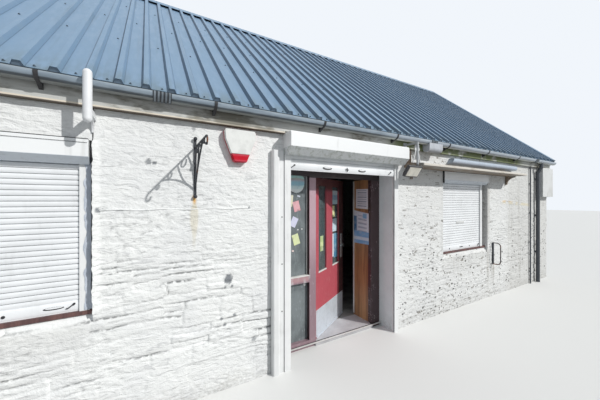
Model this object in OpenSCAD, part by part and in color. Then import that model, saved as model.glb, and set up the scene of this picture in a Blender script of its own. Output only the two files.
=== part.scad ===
// Corner shop: one storey of whitewashed rubble stone under a gable roof of box-profile metal sheets.
// X runs along the shop front to the right, Y runs into the building and Z is up.
// The origin is on the ground at the middle of the plan. Millimetres.

/* [Building] */
// Length along the shop front, over the gable walls
building_length = 11900; // [11000:50:15000]
// Depth over the front and back walls
building_depth = 5660; // [4600:20:7000]
// Thickness of the rubble walls
wall_t = 580; // [450:10:650]
// Height of the masonry over the doorway
lintel_h = 530; // [480:10:800]
// Height of the shop floor above the ground
floor_z = 45; // [30:5:90]

/* [Roof] */
// Pitch of the roof in degrees
roof_pitch = 41.25; // [30:0.25:50]
// How far the sheets run out past the wall face at the eaves
eaves_over = 100; // [70:5:140]
// How far the sheets run out past the gables
verge_over = 60; // [20:5:120]
// Spacing of the ribs in the sheets
rib_pitch = 178; // [140:1:250]
// Height of the ribs
rib_h = 32; // [20:1:45]
// Width of a rib at its crown
rib_crown = 38; // [20:1:50]
// Width of a rib at its foot
rib_foot = 66; // [52:1:90]
// Thickness of the sheets, more than the real gauge
sheet_t = 5; // [2:0.5:8]
// Width of the rafters
rafter_w = 50; // [38:1:75]
// Depth of the rafters, square to the slope
rafter_h = 120; // [90:5:175]
// Number of pairs of rafters
rafter_pairs = 9; // [5:1:16]
// Height of the purlins, square to the slope
purlin_h = 50; // [38:1:75]
// Width of the purlins
purlin_w = 75; // [50:1:100]
// Number of purlins on each slope
purlin_rows = 5; // [3:1:7]
// Thickness of the ridge board
ridge_t = 30; // [20:1:50]
// Width of each wing of the ridge cap
ridge_wing = 170; // [120:5:250]

/* [Eaves] */
// Outer radius of the half-round gutter
gutter_r = 56; // [45:1:75]
// Thickness of the gutter wall
gutter_t = 4; // [2:0.5:6]
// Depth of the gutter rim below the wall heads
gutter_drop = 70; // [60:5:90]
// Thickness of the eaves boards
board_t = 50; // [25:1:60]
// Depth of the eaves boards' underside below the wall heads
board_drop = 200; // [185:5:230]
// Gap between the ledge and the right window's shutter box under it
ledge_gap = 5; // [3:1:15]
// Height of the ledge's front edge
ledge_h = 32; // [20:1:45]
// How far the ledge stands out from the wall
ledge_out = 310; // [250:10:340]
// Length of the ledge over the right window
ledge_l = 2950; // [2400:10:3600]
// Spacing of the gutter brackets
bracket_pitch = 1125; // [600:25:1200]
// Outer diameter of the downpipes
pipe_d = 68; // [50:1:90]
// Distance of the downpipes from the right end of the walls
pipe_in = 630; // [300:10:750]

/* [Doorway] */
// Left side of the opening in the masonry
door_x0 = -668; // [-800:1:-600]
// Width of the opening in the masonry
door_w = 1546; // [1400:1:1700]
// Distance from the wall face to the door frame
frame_in = 230; // [120:5:260]
// Depth of the door frame
frame_d = 70; // [60:1:100]
// Width of the glazed side light beside the door
sidelight_w = 343; // [250:1:400]
// Width of the left jamb
jamb_w = 50; // [40:1:80]
// Width of the mullion between the side light and the door
mullion_w = 76; // [70:1:120]
// Width of the post at the right of the door
post_w = 143; // [80:1:160]
// Height of the frame's head
head_h = 84; // [60:1:100]
// Height of the transom's underside above the shop floor
transom_up = 727; // [500:1:1100]
// Height of the transom
transom_h = 77; // [40:1:100]
// Height of the door leaf
leaf_h = 1981; // [1900:1:2100]
// Thickness of the door leaf
leaf_t = 44; // [38:1:50]
// Gap round the leaf
leaf_gap = 5; // [4:0.5:8]
// Angle at which the leaf stands open
leaf_open = 30; // [0:1:60]
// Height of the kick plate
kick_h = 320; // [150:5:400]

/* [Shutters] */
// Left side of the right window opening
window_x0 = 2006; // [1800:1:2200]
// Right side of the left window opening
left_window_x1 = -2303; // [-2600:1:-2100]
// Width of the window openings
window_w = 1325; // [1100:5:1500]
// Height of the window sills above the ground
window_z = 900; // [700:10:1000]
// Height of the window openings' tops over the doorway's top
window_over = 70; // [40:5:90]
// Height of the window shutter boxes
window_box_h = 177; // [150:1:220]
// How far the window shutter boxes stand proud of the wall
window_box_out = 30; // [10:1:60]
// Distance from the wall face to the window shutter curtains
curtain_in = 60; // [40:1:90]
// Thickness of a shutter curtain
curtain_t = 10; // [8:1:16]
// Height of one slat
slat_h = 38.6; // [30:0.1:60]
// Width of the guide rails
rail_w = 62; // [45:1:80]
// Height of the door shutter box
door_box_h = 220; // [180:5:260]
// How far the door shutter box stands out from the wall
door_box_out = 180; // [150:5:230]
// Height of the door shutter box over the doorway's top
door_box_up = 90; // [60:5:90]
// How far the raised door shutter's bottom bar hangs below the doorway's top
door_bar_drop = 58; // [20:1:80]

/* [Fittings] */
// Distance of the alarm box from the doorway
alarm_from_door = 532; // [400:1:700]
// Distance of the sign bracket from the doorway
sign_from_door = 922; // [850:1:1200]
// Reach of the sign bracket
sign_reach = 510; // [400:5:600]
// Height of the sign bracket's wall bar
sign_h = 500; // [400:5:600]
// Position of the floodlight along the front
flood_x = 955; // [900:5:1100]
// Tilt of the floodlight in degrees
flood_tilt = 35; // [20:1:60]
// Height of the wall hoop
hoop_h = 400; // [300:10:500]

/* [Hidden] */
$fn = 48;

half_l = building_length / 2;
half_d = building_depth / 2;
face_y = -half_d;
door_top = floor_z + leaf_h + 2 * leaf_gap + head_h;
wall_h = door_top + lintel_h;
slope_rise = tan(roof_pitch);
sheet_edge_y = half_d + eaves_over;
// The underside of the sheets passes the wall head's outer edge a little above it
sheet_seat = 43;
// Clearance of what ends under the sheets
seat_gap = 0.4;
sheet_edge_z = wall_h + sheet_seat - eaves_over * slope_rise;
ridge_z = wall_h + sheet_seat + half_d * slope_rise;
slope_l = sheet_edge_y / cos(roof_pitch);
sheet_l = building_length + 2 * verge_over;
gutter_z = wall_h - gutter_drop;
gutter_out = board_t + gutter_r;
board_z = wall_h - board_drop;
pipe_x = half_l - pipe_in;
door_x1 = door_x0 + door_w;
frame_y = face_y + frame_in;
frame_back_y = frame_y + frame_d;
side_x0 = door_x0 + jamb_w;
mullion_x = side_x0 + sidelight_w;
leaf_x0 = mullion_x + mullion_w;
leaf_x1 = door_x1 - post_w;
left_x0 = left_window_x1 - window_w;
window_top = door_top + window_over;
ledge_low = window_top + ledge_gap;
// Distance from the floodlight's middle to the ledge's left end, clear of the lamp's arm
lamp_side = 155;
ledge_x0 = flood_x + lamp_side;
ledge_x1 = ledge_x0 + ledge_l;
door_box_z = door_top + door_box_up;

// Puts a child drawn in the sheet's own plane on a slope. side is -1 for the front, 1 for the back.
// There X runs along the eaves, Y up the slope from the sheet's edge and Z out of the roof.
module on_slope(side) {
    translate([0, side * sheet_edge_y, sheet_edge_z])
        rotate([0, 0, side < 0 ? 0 : 180])
            rotate([roof_pitch, 0, 0]) children();
}

// Mirrors a child to the back of the building
module at_back() {
    mirror([0, 1, 0]) children();
}

// A block given by its lowest and highest corners
module block(low, high) {
    translate(low) cube(high - low);
}

// Extrudes an outline drawn as [distance out of the wall, height] along the wall from x0 to x1
module along_wall(x0, x1) {
    translate([x1, face_y, 0]) rotate([90, 0, -90]) linear_extrude(x1 - x0) children();
}

module window_hole(x0) {
    block([x0, face_y - 1, window_z], [x0 + window_w, face_y + wall_t + 1, window_top]);
    along_wall(x0, x0 + window_w)
        polygon([[1, window_z - 61], [1, window_z + 1], [-60, window_z + 1], [-60, window_z]]);
}

module front_wall_left() {
    color("whitesmoke") difference() {
        block([-half_l + wall_t, face_y, 0], [door_x0, face_y + wall_t, wall_h]);
        window_hole(left_x0);
    }
}

module front_wall_right() {
    color("whitesmoke") difference() {
        block([door_x1, face_y, 0], [half_l - wall_t, face_y + wall_t, wall_h]);
        window_hole(window_x0);
    }
}

module door_lintel() {
    color("whitesmoke") block([door_x0, face_y, door_top], [door_x1, face_y + wall_t, wall_h]);
}

module back_wall() {
    color("whitesmoke")
        block([-half_l + wall_t, half_d - wall_t, 0], [half_l - wall_t, half_d, wall_h]);
}

module gable(x0) {
    color("whitesmoke") translate([x0, 0, 0]) rotate([90, 0, 90]) linear_extrude(wall_t)
        polygon([[-half_d, 0], [half_d, 0], [half_d, wall_h + sheet_seat - seat_gap],
            [0, ridge_z - seat_gap], [-half_d, wall_h + sheet_seat - seat_gap]]);
}

module left_gable_wall() {
    gable(-half_l);
}

module right_gable_wall() {
    gable(half_l - wall_t);
}

module floor_slab() {
    color("gray") block([-half_l + wall_t, -half_d + wall_t, 0], [half_l - wall_t, half_d - wall_t, floor_z]);
}

// Concrete step behind the frame, with a nosing that runs out under the door
module door_step() {
    nose = 20;
    color("silver") linear_extrude(floor_z)
        polygon([[leaf_x0, frame_y - nose], [leaf_x1, frame_y - nose], [leaf_x1, frame_back_y],
            [door_x1, frame_back_y], [door_x1, face_y + wall_t], [door_x0, face_y + wall_t],
            [door_x0, frame_back_y], [leaf_x0, frame_back_y]]);
}

// One rafter of the front slope: seated on the wall head and cut plumb at the ridge board
module rafter_outline() {
    top = (purlin_h + seat_gap) / cos(roof_pitch);
    low = (purlin_h + rafter_h) / cos(roof_pitch);
    cut = ridge_t / 2;
    foot_top_y = (top - sheet_seat) / slope_rise - half_d;
    foot_low_y = (low - sheet_seat) / slope_rise - half_d;
    polygon([[foot_top_y, wall_h], [foot_low_y, wall_h], [-cut, ridge_z - low - cut * slope_rise],
        [-cut, ridge_z - top - cut * slope_rise]]);
}

module rafters() {
    span = building_length - 2 * wall_t;
    step = span / rafter_pairs;
    color("burlywood")
        for (i = [0 : rafter_pairs - 1], side = [0, 1])
            translate([-span / 2 + step * (i + 0.5) - rafter_w / 2, 0, 0])
                rotate([90, 0, 90]) linear_extrude(rafter_w) mirror([side, 0]) rafter_outline();
}

module ridge_board() {
    top = ridge_z - purlin_h / cos(roof_pitch) - ridge_t * slope_rise / 2;
    inside = half_l - wall_t;
    depth = (rafter_h / cos(roof_pitch)) + 20;
    color("burlywood") block([-inside, -ridge_t / 2, top - depth], [inside, ridge_t / 2, top]);
}

module purlins() {
    inside_l = building_length - 2 * (wall_t + seat_gap);
    first = (eaves_over + 120) / cos(roof_pitch);
    last = slope_l - 190;
    color("tan")
        for (side = [-1, 1]) on_slope(side)
            for (i = [0 : purlin_rows - 1]) {
                up = first + (last - first) * i / (purlin_rows - 1);
                translate([-inside_l / 2, up - purlin_w / 2, -purlin_h]) cube([inside_l, purlin_w, purlin_h]);
            }
}

// Outline of the sheets across the ribs, from one verge to the other
function rib_line(x, z) = [[x - rib_foot / 2, z], [x - rib_crown / 2, z + rib_h],
    [x + rib_crown / 2, z + rib_h], [x + rib_foot / 2, z]];
rib_side = floor((sheet_l / 2 - rib_foot) / rib_pitch);
last_rib = rib_side * rib_pitch;

module sheet_profile() {
    upper = [for (k = [-rib_side : rib_side], p = rib_line(k * rib_pitch, sheet_t)) p];
    lower = [for (k = [rib_side : -1 : -rib_side], i = [3 : -1 : 0]) rib_line(k * rib_pitch, 0)[i]];
    polygon(concat([[-sheet_l / 2, 0], [-sheet_l / 2, sheet_t]], upper,
        [[sheet_l / 2, sheet_t], [sheet_l / 2, 0]], lower));
}

module roof_sheets(side) {
    color([0.27, 0.35, 0.42]) intersection() {
        on_slope(side)
            translate([0, slope_l + 60, 0]) rotate([90, 0, 0]) linear_extrude(slope_l + 60) sheet_profile();
        block([-building_length, side < 0 ? -building_depth : 0, 0],
            [building_length, side < 0 ? 0 : building_depth, 2 * ridge_z]);
    }
}

module roof_sheets_front() {
    roof_sheets(-1);
}

module roof_sheets_back() {
    roof_sheets(1);
}

// Folded cap over the ridge, resting on the crowns of the ribs between the verge flashings
module ridge_cap() {
    crown_z = ridge_z + (rib_h + sheet_t) / cos(roof_pitch);
    wing_y = ridge_wing * cos(roof_pitch);
    wing_z = ridge_wing * sin(roof_pitch);
    t = sheet_t / cos(roof_pitch);
    color([0.27, 0.35, 0.42])
        translate([-last_rib, 0, crown_z]) rotate([90, 0, 90]) linear_extrude(2 * last_rib)
            polygon([[0, 0], [wing_y, -wing_z], [wing_y, -wing_z + t], [0, t], [-wing_y, -wing_z + t],
                [-wing_y, -wing_z]]);
}

// Angle flashings that cover the edge of the sheets and turn down over the gables
module verge_flashings() {
    crown = rib_h + sheet_t;
    leg = 110;
    color([0.27, 0.35, 0.42]) for (end = [-1, 1], side = [-1, 1]) intersection() {
        on_slope(side) mirror([end * side > 0 ? 1 : 0, 0, 0])
            translate([-sheet_l / 2, slope_l + 60, 0]) rotate([90, 0, 0]) linear_extrude(slope_l + 60)
                polygon([[-sheet_t, -leg], [0, -leg], [0, crown], [sheet_l / 2 - last_rib, crown],
                    [sheet_l / 2 - last_rib, crown + sheet_t], [-sheet_t, crown + sheet_t]]);
        block([-building_length, side < 0 ? -building_depth : seat_gap, 0],
            [building_length, side < 0 ? -seat_gap : building_depth, 2 * ridge_z]);
    }
}

// The eaves boards stand on the wall faces and end just under the sheets
module eaves_boards() {
    color("gainsboro") for (side = [0, 1]) mirror([0, side, 0]) along_wall(-half_l, half_l)
        polygon([[0, board_z], [board_t, board_z],
            [board_t, sheet_edge_z + (eaves_over - board_t) * slope_rise - seat_gap],
            [0, sheet_edge_z + eaves_over * slope_rise - seat_gap]]);
}

// Pent ledge over the right window: a weathered top, a drip groove under its nose and two curved brackets
module eaves_ledge() {
    fall = 40;
    nose = 8;
    drip = 6;
    drip_in = 30;
    leg = 24;
    curve = 130;
    bracket_w = 30;
    ends = [140, 60];
    color("gainsboro") along_wall(ledge_x0, ledge_x1)
        polygon([[0, ledge_low], [ledge_out - drip_in, ledge_low], [ledge_out - drip_in, ledge_low + drip],
            [ledge_out - drip_in + 2 * drip, ledge_low + drip], [ledge_out - drip_in + 2 * drip, ledge_low],
            [ledge_out - nose / 2, ledge_low], [ledge_out, ledge_low + nose / 2],
            [ledge_out, ledge_low + ledge_h - nose], [ledge_out - nose, ledge_low + ledge_h],
            [0, ledge_low + ledge_h + fall]]);
    color("saddlebrown") for (x = [ledge_x0 + ends[0], ledge_x1 - ends[1]])
        along_wall(x - bracket_w / 2, x + bracket_w / 2) difference() {
            translate([0, ledge_low - leg - curve]) square([leg + curve, leg + curve]);
            translate([leg + curve, ledge_low - leg - curve]) circle(curve);
        }
}

// Quarter circle of points round a centre, from angle a0
function bend_line(centre, r, a0) = [for (a = [a0 : 15 : a0 + 90]) centre + r * [cos(a), sin(a)]];

// Round-fronted casing between the ledge and the gutter, cut at a slant at its left end
module eaves_casing() {
    x0 = window_x0 + 94;
    x1 = x0 + 2150;
    high = 85;
    top = board_z - 50;
    low = top - high;
    out = 92;
    bend = 40;
    color("lightsteelblue") difference() {
        along_wall(x0, x1)
            polygon(concat([[0, low]], bend_line([out - bend, low + bend], bend, -90),
                bend_line([out - bend, top - bend], bend, 0), [[0, top]]));
        translate([x0 - 1, face_y - 2 * out, low - 1]) rotate([0, 40, 0]) translate([-300, 0, 0])
            cube([300, 4 * out, 400]);
    }
}

module half_round(r) {
    intersection() {
        circle(r);
        translate([-r - 1, -r - 1]) square([2 * r + 2, r + 1]);
    }
}

// Half-round gutters with stop ends, along the front and the back
module gutters() {
    color([0.2, 0.22, 0.24]) for (side = [0, 1]) mirror([0, side, 0]) {
        along_wall(-half_l, half_l) translate([gutter_out, gutter_z]) difference() {
            half_round(gutter_r);
            circle(gutter_r - gutter_t);
        }
        for (x = [-half_l, half_l - gutter_t])
            along_wall(x, x + gutter_t) translate([gutter_out, gutter_z]) half_round(gutter_r - gutter_t + 1);
    }
}

bracket_x0 = 805;
bracket_first = ceil((100 - half_l - bracket_x0) / bracket_pitch);
bracket_last = floor((pipe_x - 150 - bracket_x0) / bracket_pitch);

// Straps under the gutter, screwed to the eaves board
module gutter_brackets() {
    strap = 5;
    width = bracket_w;
    color([0.2, 0.22, 0.24]) for (side = [0, 1], i = [bracket_first : bracket_last]) {
        x = bracket_x0 + i * bracket_pitch - width / 2;
        mirror([0, side, 0]) along_wall(x, x + width) translate([gutter_out, gutter_z]) difference() {
            union() {
                intersection() {
                    half_round(gutter_r + strap);
                    translate([-gutter_r, -2 * gutter_r]) square([3 * gutter_r, 2 * gutter_r]);
                }
                polygon([[-gutter_r, -10], [-gutter_r, -gutter_r - 34], [0, -gutter_r - strap],
                    [0, -gutter_r + 2]]);
            }
            circle(gutter_r + seat_gap);
        }
    }
}

union_w = 130;
bracket_w = 24;

// A sleeve's place between two brackets, as near as it can be to the place asked for
function between_brackets(x) =
    let (low = bracket_x0 + floor((x - bracket_x0) / bracket_pitch) * bracket_pitch,
        clear = (union_w + bracket_w) / 2 + 20)
    low + min(max(x - low, clear), bracket_pitch - clear);

// Middles of the gutter's sleeves: one near each end and one on each side of the doorway
union_places = [for (x = [655 - half_l, door_x0 - 1182, door_x1 + 682, half_l - 970]) between_brackets(x)];

// Ribbed sleeves that join the lengths of gutter
module gutter_unions() {
    sleeve = 4;
    rib = 4;
    width = union_w;
    ribs = 5;
    color([0.25, 0.27, 0.29]) for (side = [0, 1], x = union_places) mirror([0, side, 0]) {
        along_wall(x - width / 2, x + width / 2) translate([gutter_out, gutter_z]) sleeve_ring(sleeve);
        for (i = [0 : ribs - 1]) {
            rib_x = x - width / 2 + (i + 0.25) * width / ribs;
            along_wall(rib_x, rib_x + width / ribs / 2) translate([gutter_out, gutter_z])
                sleeve_ring(sleeve + rib);
        }
    }
}

// Half ring round the gutter that stays clear of the eaves board
module sleeve_ring(thick) {
    difference() {
        half_round(gutter_r + thick);
        circle(gutter_r + seat_gap);
        translate([-2 * gutter_r, -2 * gutter_r]) square([gutter_r + seat_gap, 3 * gutter_r]);
    }
}

// Deep outlet under the front gutter, fixed to the eaves board and clear of the sleeve over it
module gutter_outlet() {
    neck = 45;
    width = 300;
    x0 = door_x1 + 562;
    color("lightgray") along_wall(x0, x0 + width) translate([gutter_out, gutter_z - gutter_r - neck])
        difference() {
            union() {
                half_round(gutter_r);
                translate([-gutter_r, -1]) square([2 * gutter_r, neck + gutter_r]);
            }
            translate([0, gutter_r + neck]) circle(gutter_r + 9);
        }
}

collar = 3;

// A straight length of downpipe with a round collar at its top, between two points given as [Y, Z]
module pipe_run(a, b) {
    rise = norm(b - a);
    lean = atan2(a[0] - b[0], b[1] - a[1]);
    translate([pipe_x, a[0], a[1]]) rotate([lean, 0, 0]) cylinder(d = pipe_d, h = rise);
    translate([pipe_x, b[0], b[1]]) sphere(d = pipe_d + 2 * collar);
}

clip = 12;
clip_h = 30;

module downpipe() {
    wall_line = face_y - clip - pipe_d / 2;
    outlet_line = face_y - gutter_out;
    outlet_z = gutter_z - gutter_r - 1;
    neck_z = outlet_z - 40 - pipe_d / 2;
    swan = 110;
    difference() {
        union() {
            pipe_run([wall_line, 0], [wall_line, neck_z - swan]);
            pipe_run([wall_line, neck_z - swan], [outlet_line, neck_z]);
            translate([pipe_x, outlet_line, neck_z]) cylinder(d = pipe_d, h = gutter_z - neck_z);
            for (i = [1 : 3])
                translate([pipe_x - pipe_d / 2 - 8, face_y - clip - 14, i * (neck_z - swan) / 3 - 150])
                    cube([pipe_d + 16, clip + 14, clip_h]);
        }
        translate([pipe_x - pipe_d, outlet_line, gutter_z]) rotate([0, 90, 0])
            cylinder(r = gutter_r + seat_gap, h = 2 * pipe_d);
    }
}

module downpipes() {
    color([0.2, 0.22, 0.24]) {
        downpipe();
        at_back() downpipe();
    }
}

module conduit() {
    d = 25;
    off = 5;
    clips = 4;
    color([0.25, 0.26, 0.28]) translate([pipe_x - 290, face_y - d / 2 - off, 0]) {
        cylinder(d = d, h = board_z);
        for (i = [0 : clips - 1]) translate([-20, -4, (i + 0.4) * board_z / clips])
            cube([40, d / 2 + off + 4, 20]);
    }
}

rail_top = floor_z + 35;
transom_z = floor_z + transom_up;
head_z = door_top - head_h;

module door_frame() {
    stop = 15;
    stop_d = frame_d - leaf_t - leaf_gap;
    color([0.36, 0.24, 0.26]) {
        difference() {
            block([door_x0, frame_y, 0], [door_x1, frame_back_y, door_top]);
            block([side_x0, frame_y - 1, rail_top], [mullion_x, frame_back_y + 1, transom_z]);
            block([side_x0, frame_y - 1, transom_z + transom_h], [mullion_x, frame_back_y + 1, head_z]);
            block([leaf_x0, frame_y - 1, -1], [leaf_x1, frame_back_y + 1, head_z]);
        }
        difference() {
            block([leaf_x0, frame_y, floor_z], [leaf_x1, frame_y + stop_d, head_z]);
            block([leaf_x0 + stop, frame_y - 1, floor_z - 1], [leaf_x1 - stop, frame_back_y, head_z - stop]);
        }
    }
}

glass_t = 6;

module sidelight_glass() {
    y = frame_y + frame_d - 20;
    color([0.5, 0.6, 0.65, 0.5]) {
        block([side_x0, y, rail_top], [mullion_x, y + glass_t, transom_z]);
        block([side_x0, y, transom_z + transom_h], [mullion_x, y + glass_t, head_z]);
    }
}

// The hinge line stands just inside the back of the frame
hinge_r = 6;
hinge_x = leaf_x0 + leaf_gap / 2;
hinge_y = frame_back_y + hinge_r + 1;
lock_gap = leaf_gap + 3;
leaf_w = leaf_x1 - leaf_x0 - leaf_gap - lock_gap;
leaf_z = floor_z + leaf_gap;
slot_z0 = 800;
slot_z1 = leaf_h - 100;
slot_w = leaf_w * 0.25;
slot_places = [leaf_w * 0.1, leaf_w * 0.57];

// Puts a child drawn beside the hinge line, X along the closed leaf and Y through it, at the open angle
module on_leaf() {
    translate([hinge_x, hinge_y, leaf_z]) rotate([0, 0, leaf_open])
        translate([leaf_gap / 2, -hinge_r - 1 - leaf_t, 0]) children();
}

module door_leaf() {
    color("firebrick") on_leaf() difference() {
        cube([leaf_w, leaf_t, leaf_h]);
        for (x = slot_places) translate([x, -1, slot_z0]) cube([slot_w, leaf_t + 2, slot_z1 - slot_z0]);
    }
}

module door_glass() {
    color([0.5, 0.6, 0.65, 0.5]) on_leaf() for (x = slot_places)
        translate([x, (leaf_t - glass_t) / 2, slot_z0]) cube([slot_w, glass_t, slot_z1 - slot_z0]);
}

module kick_plate() {
    plate = 1.5;
    margin = 18;
    color("silver") on_leaf() translate([margin, -plate, margin]) cube([leaf_w - 2 * margin, plate, kick_h]);
}

// Lever handles on long back plates, one on each face of the leaf
module door_handle() {
    plate_w = 44;
    plate_t = 8;
    plate_z = 850;
    plate_h = 350;
    lever_z = 1040;
    lever_r = 9;
    lever_out = 40;
    color("silver") on_leaf() for (face = [0, 1])
        translate([leaf_w - 70, face * leaf_t, 0]) mirror([0, 1 - face, 0]) {
            translate([-plate_w / 2, 0, plate_z]) cube([plate_w, plate_t, plate_h]);
            translate([0, plate_t - 1, lever_z]) rotate([-90, 0, 0]) cylinder(r = lever_r, h = lever_out);
            translate([lever_r, lever_out - 2, lever_z]) rotate([0, -90, 0]) cylinder(r = lever_r, h = 120);
        }
}

hinge_places = [0.1 * leaf_h, 0.48 * leaf_h, 0.86 * leaf_h];

// Fixed halves of the hinges: two knuckles, the pin and a plate on the mullion
module door_hinges() {
    color("dimgray") for (z = hinge_places) translate([hinge_x, hinge_y, leaf_z + z]) {
        cylinder(r = 3, h = 100);
        cylinder(r = hinge_r, h = 30);
        translate([0, 0, 70]) cylinder(r = hinge_r, h = 30);
        for (k = [0, 70]) translate([-40, -hinge_r - 1, k]) cube([37, 3, 30]);
    }
}

module hinge_leaves() {
    color("dimgray") for (z = hinge_places) translate([0, 0, z]) translate([hinge_x, hinge_y, leaf_z])
        rotate([0, 0, leaf_open]) translate([0, 0, 33]) difference() {
            union() {
                cylinder(r = hinge_r, h = 34);
                translate([3, -hinge_r - 1, 0]) cube([37, 3, 34]);
            }
            translate([0, 0, -1]) cylinder(r = 3.3, h = 36);
        }
}

// Boarded inner reveal at the right of the door
module ingo_lining() {
    board = 30;
    x = leaf_x1;
    color("saddlebrown") {
        block([x, frame_back_y, floor_z], [x + board, face_y + wall_t + 20, head_z]);
        block([x + board, face_y + wall_t - 10, floor_z], [door_x1, face_y + wall_t + 20, head_z]);
    }
}

door_rail_w = 70;

module door_shutter_box() {
    z1 = door_box_z + door_box_h;
    chamfer = 70;
    color("whitesmoke") along_wall(door_x0 - door_rail_w, door_x1 + door_rail_w + 44)
        polygon([[0, door_box_z], [door_box_out - chamfer, door_box_z], [door_box_out, door_box_z + chamfer],
            [door_box_out, z1 - 12], [door_box_out - 8, z1 - 12], [door_box_out - 8, z1], [0, z1]]);
}

door_rail_out = 40;

// Guide rails of the door shutter, channels open to the curtain
module door_shutter_rails() {
    slot = curtain_t + 6;
    color("whitesmoke") difference() {
        for (x = [door_x0 - door_rail_w, door_x1])
            block([x, face_y - door_rail_out, 0], [x + door_rail_w, face_y, door_box_z]);
        block([door_x0 - 40, face_y - 30 - 3, -1], [door_x1 + 40, face_y - 30 - 3 + slot, door_box_z + 1]);
    }
}

// Section through a shutter curtain, one slat over another with a groove between them
module slats(front, low, high) {
    groove = 2.5;
    slat = [[groove, 0], [0, 0.2], [0, 0.9]];
    count = floor((high - low) / slat_h);
    polygon(concat([[front - curtain_t, high], [front - curtain_t, low]],
        [for (k = [0 : count - 1], q = slat) [front - q[0], low + (k + q[1]) * slat_h]],
        [[front - groove, high]]));
}

module door_shutter_curtain() {
    color("whitesmoke") along_wall(door_x0 - 36, door_x1 + 36)
        slats(30, door_top - door_bar_drop, door_box_z);
}

window_box_w = window_w - 21;
right_rail_in = 75;

// Places a child at the left side of each window opening
module at_windows() {
    for (x0 = [left_x0, window_x0]) translate([x0, 0, 0]) children();
}

module window_shutter_boxes() {
    z0 = window_top - window_box_h;
    chamfer = 50;
    flange = 30;
    color("whitesmoke") at_windows() along_wall(0, window_box_w)
        polygon([[-140, z0], [window_box_out - chamfer, z0], [window_box_out, z0 + chamfer],
            [window_box_out, window_top - flange], [window_box_out - 5, window_top - flange],
            [window_box_out - 5, window_top], [-140, window_top]]);
}

shutter_foot_z = window_z + 30;
rail_front = 15;

// One guide rail of a window shutter, a channel that opens to its right
module window_rail() {
    slot = curtain_t + 6;
    difference() {
        block([0, face_y + curtain_in - rail_front, shutter_foot_z],
            [rail_w, face_y + curtain_in + 25, window_top - window_box_h]);
        block([rail_w - 28, face_y + curtain_in - 3, shutter_foot_z - 1],
            [rail_w + 1, face_y + curtain_in - 3 + slot, window_top]);
    }
}

module window_shutter_rails() {
    color("whitesmoke") at_windows() window_rail();
    color("whitesmoke") for (x1 = [left_x0 + window_box_w, window_x0 + window_box_w - right_rail_in])
        translate([x1, 0, 0]) mirror([1, 0, 0]) window_rail();
}

module window_shutter_curtains() {
    into = 24;
    color("white")
        for (x = [[left_x0, left_x0 + window_box_w], [window_x0, window_x0 + window_box_w - right_rail_in]])
            along_wall(x[0] + rail_w - into, x[1] - rail_w + into)
                slats(-curtain_in, shutter_foot_z, window_top - window_box_h);
}

pane_in = 200;
pane_frame = 60;
pane_w = (window_w - 3 * pane_frame) / 2;

// Two-light timber frames behind the shutters, on a sill board that reaches under the curtain
module window_frames() {
    y = face_y + pane_in;
    color("saddlebrown") at_windows() {
        difference() {
            block([0, y, shutter_foot_z], [window_w, y + 70, window_top]);
            for (x = [pane_frame, 2 * pane_frame + pane_w])
                block([x, y - 1, shutter_foot_z + pane_frame], [x + pane_w, y + 71, window_top - pane_frame]);
        }
        block([0, face_y + 40, window_z], [window_w, y + 70, shutter_foot_z]);
    }
}

module window_glass() {
    y = face_y + pane_in + 32;
    color([0.5, 0.6, 0.65, 0.5]) at_windows() for (x = [pane_frame, 2 * pane_frame + pane_w])
        block([x, y, shutter_foot_z + pane_frame], [x + pane_w, y + glass_t, window_top - pane_frame]);
}

// Round-edged board beside the left rail, with a lower strip between the two
module side_casing() {
    board_w = 73;
    board_out = 55;
    strip_w = 54;
    strip_out = 30;
    edge = 16;
    gap = 8;
    x0 = door_x0 - door_rail_w - gap - strip_w - board_w;
    color("whitesmoke") translate([x0, face_y, 0]) linear_extrude(fitting_z) mirror([0, 1])
        polygon(concat([[board_w + strip_w, 0], [board_w + strip_w, strip_out], [board_w, strip_out]],
            bend_line([board_w - edge, board_out - edge], edge, 0),
            bend_line([edge, board_out - edge], edge, 90), [[0, 0]]));
}

fitting_z = door_top + 130;
alarm_base_t = 45;
alarm_cover_t = 18;

module alarm_outline() {
    polygon([[-135, 150], [135, 150], [148, 130], [142, 60], [62, -142], [52, -150], [-52, -150],
        [-62, -142], [-142, 60], [-148, 130]]);
}

module on_alarm() {
    translate([door_x0 - alarm_from_door, face_y, fitting_z]) rotate([90, 0, 0]) children();
}

// Red base whose lower part stands forward as the lens
module alarm_base() {
    color("red") on_alarm() {
        linear_extrude(alarm_base_t) alarm_outline();
        linear_extrude(alarm_base_t + alarm_cover_t - 4) intersection() {
            scale(0.96) alarm_outline();
            difference() {
                translate([-200, -200]) square([400, 126]);
                translate([0, 30]) circle(105);
            }
        }
    }
}

module alarm_cover() {
    color("white") on_alarm() translate([0, 0, alarm_base_t]) linear_extrude(alarm_cover_t)
        difference() {
            scale(0.97) alarm_outline();
            difference() {
                translate([-200, -200]) square([400, 126 + seat_gap]);
                translate([0, 30]) circle(105 - seat_gap);
            }
        }
}

// Ring segment of a flat bar, drawn from angle a0 to angle a1
module arc_bar(r, bar, a0, a1) {
    steps = 16;
    turn = [for (i = [0 : steps]) let (a = a0 + (a1 - a0) * i / steps) [cos(a), sin(a)]];
    polygon(concat([for (i = [0 : steps]) (r + bar / 2) * turn[i]],
        [for (i = [steps : -1 : 0]) (r - bar / 2) * turn[i]]));
}

// Flat bar bowed by sag between two points
module bowed_bar(a, b, sag, bar) {
    half = norm(b - a) / 2;
    r = (half * half + sag * sag) / (2 * sag);
    span = asin(half / r);
    translate((a + b) / 2) rotate(atan2(b[1] - a[1], b[0] - a[0])) translate([0, sag - r])
        arc_bar(r, bar, 90 - span, 90 + span);
}

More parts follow.
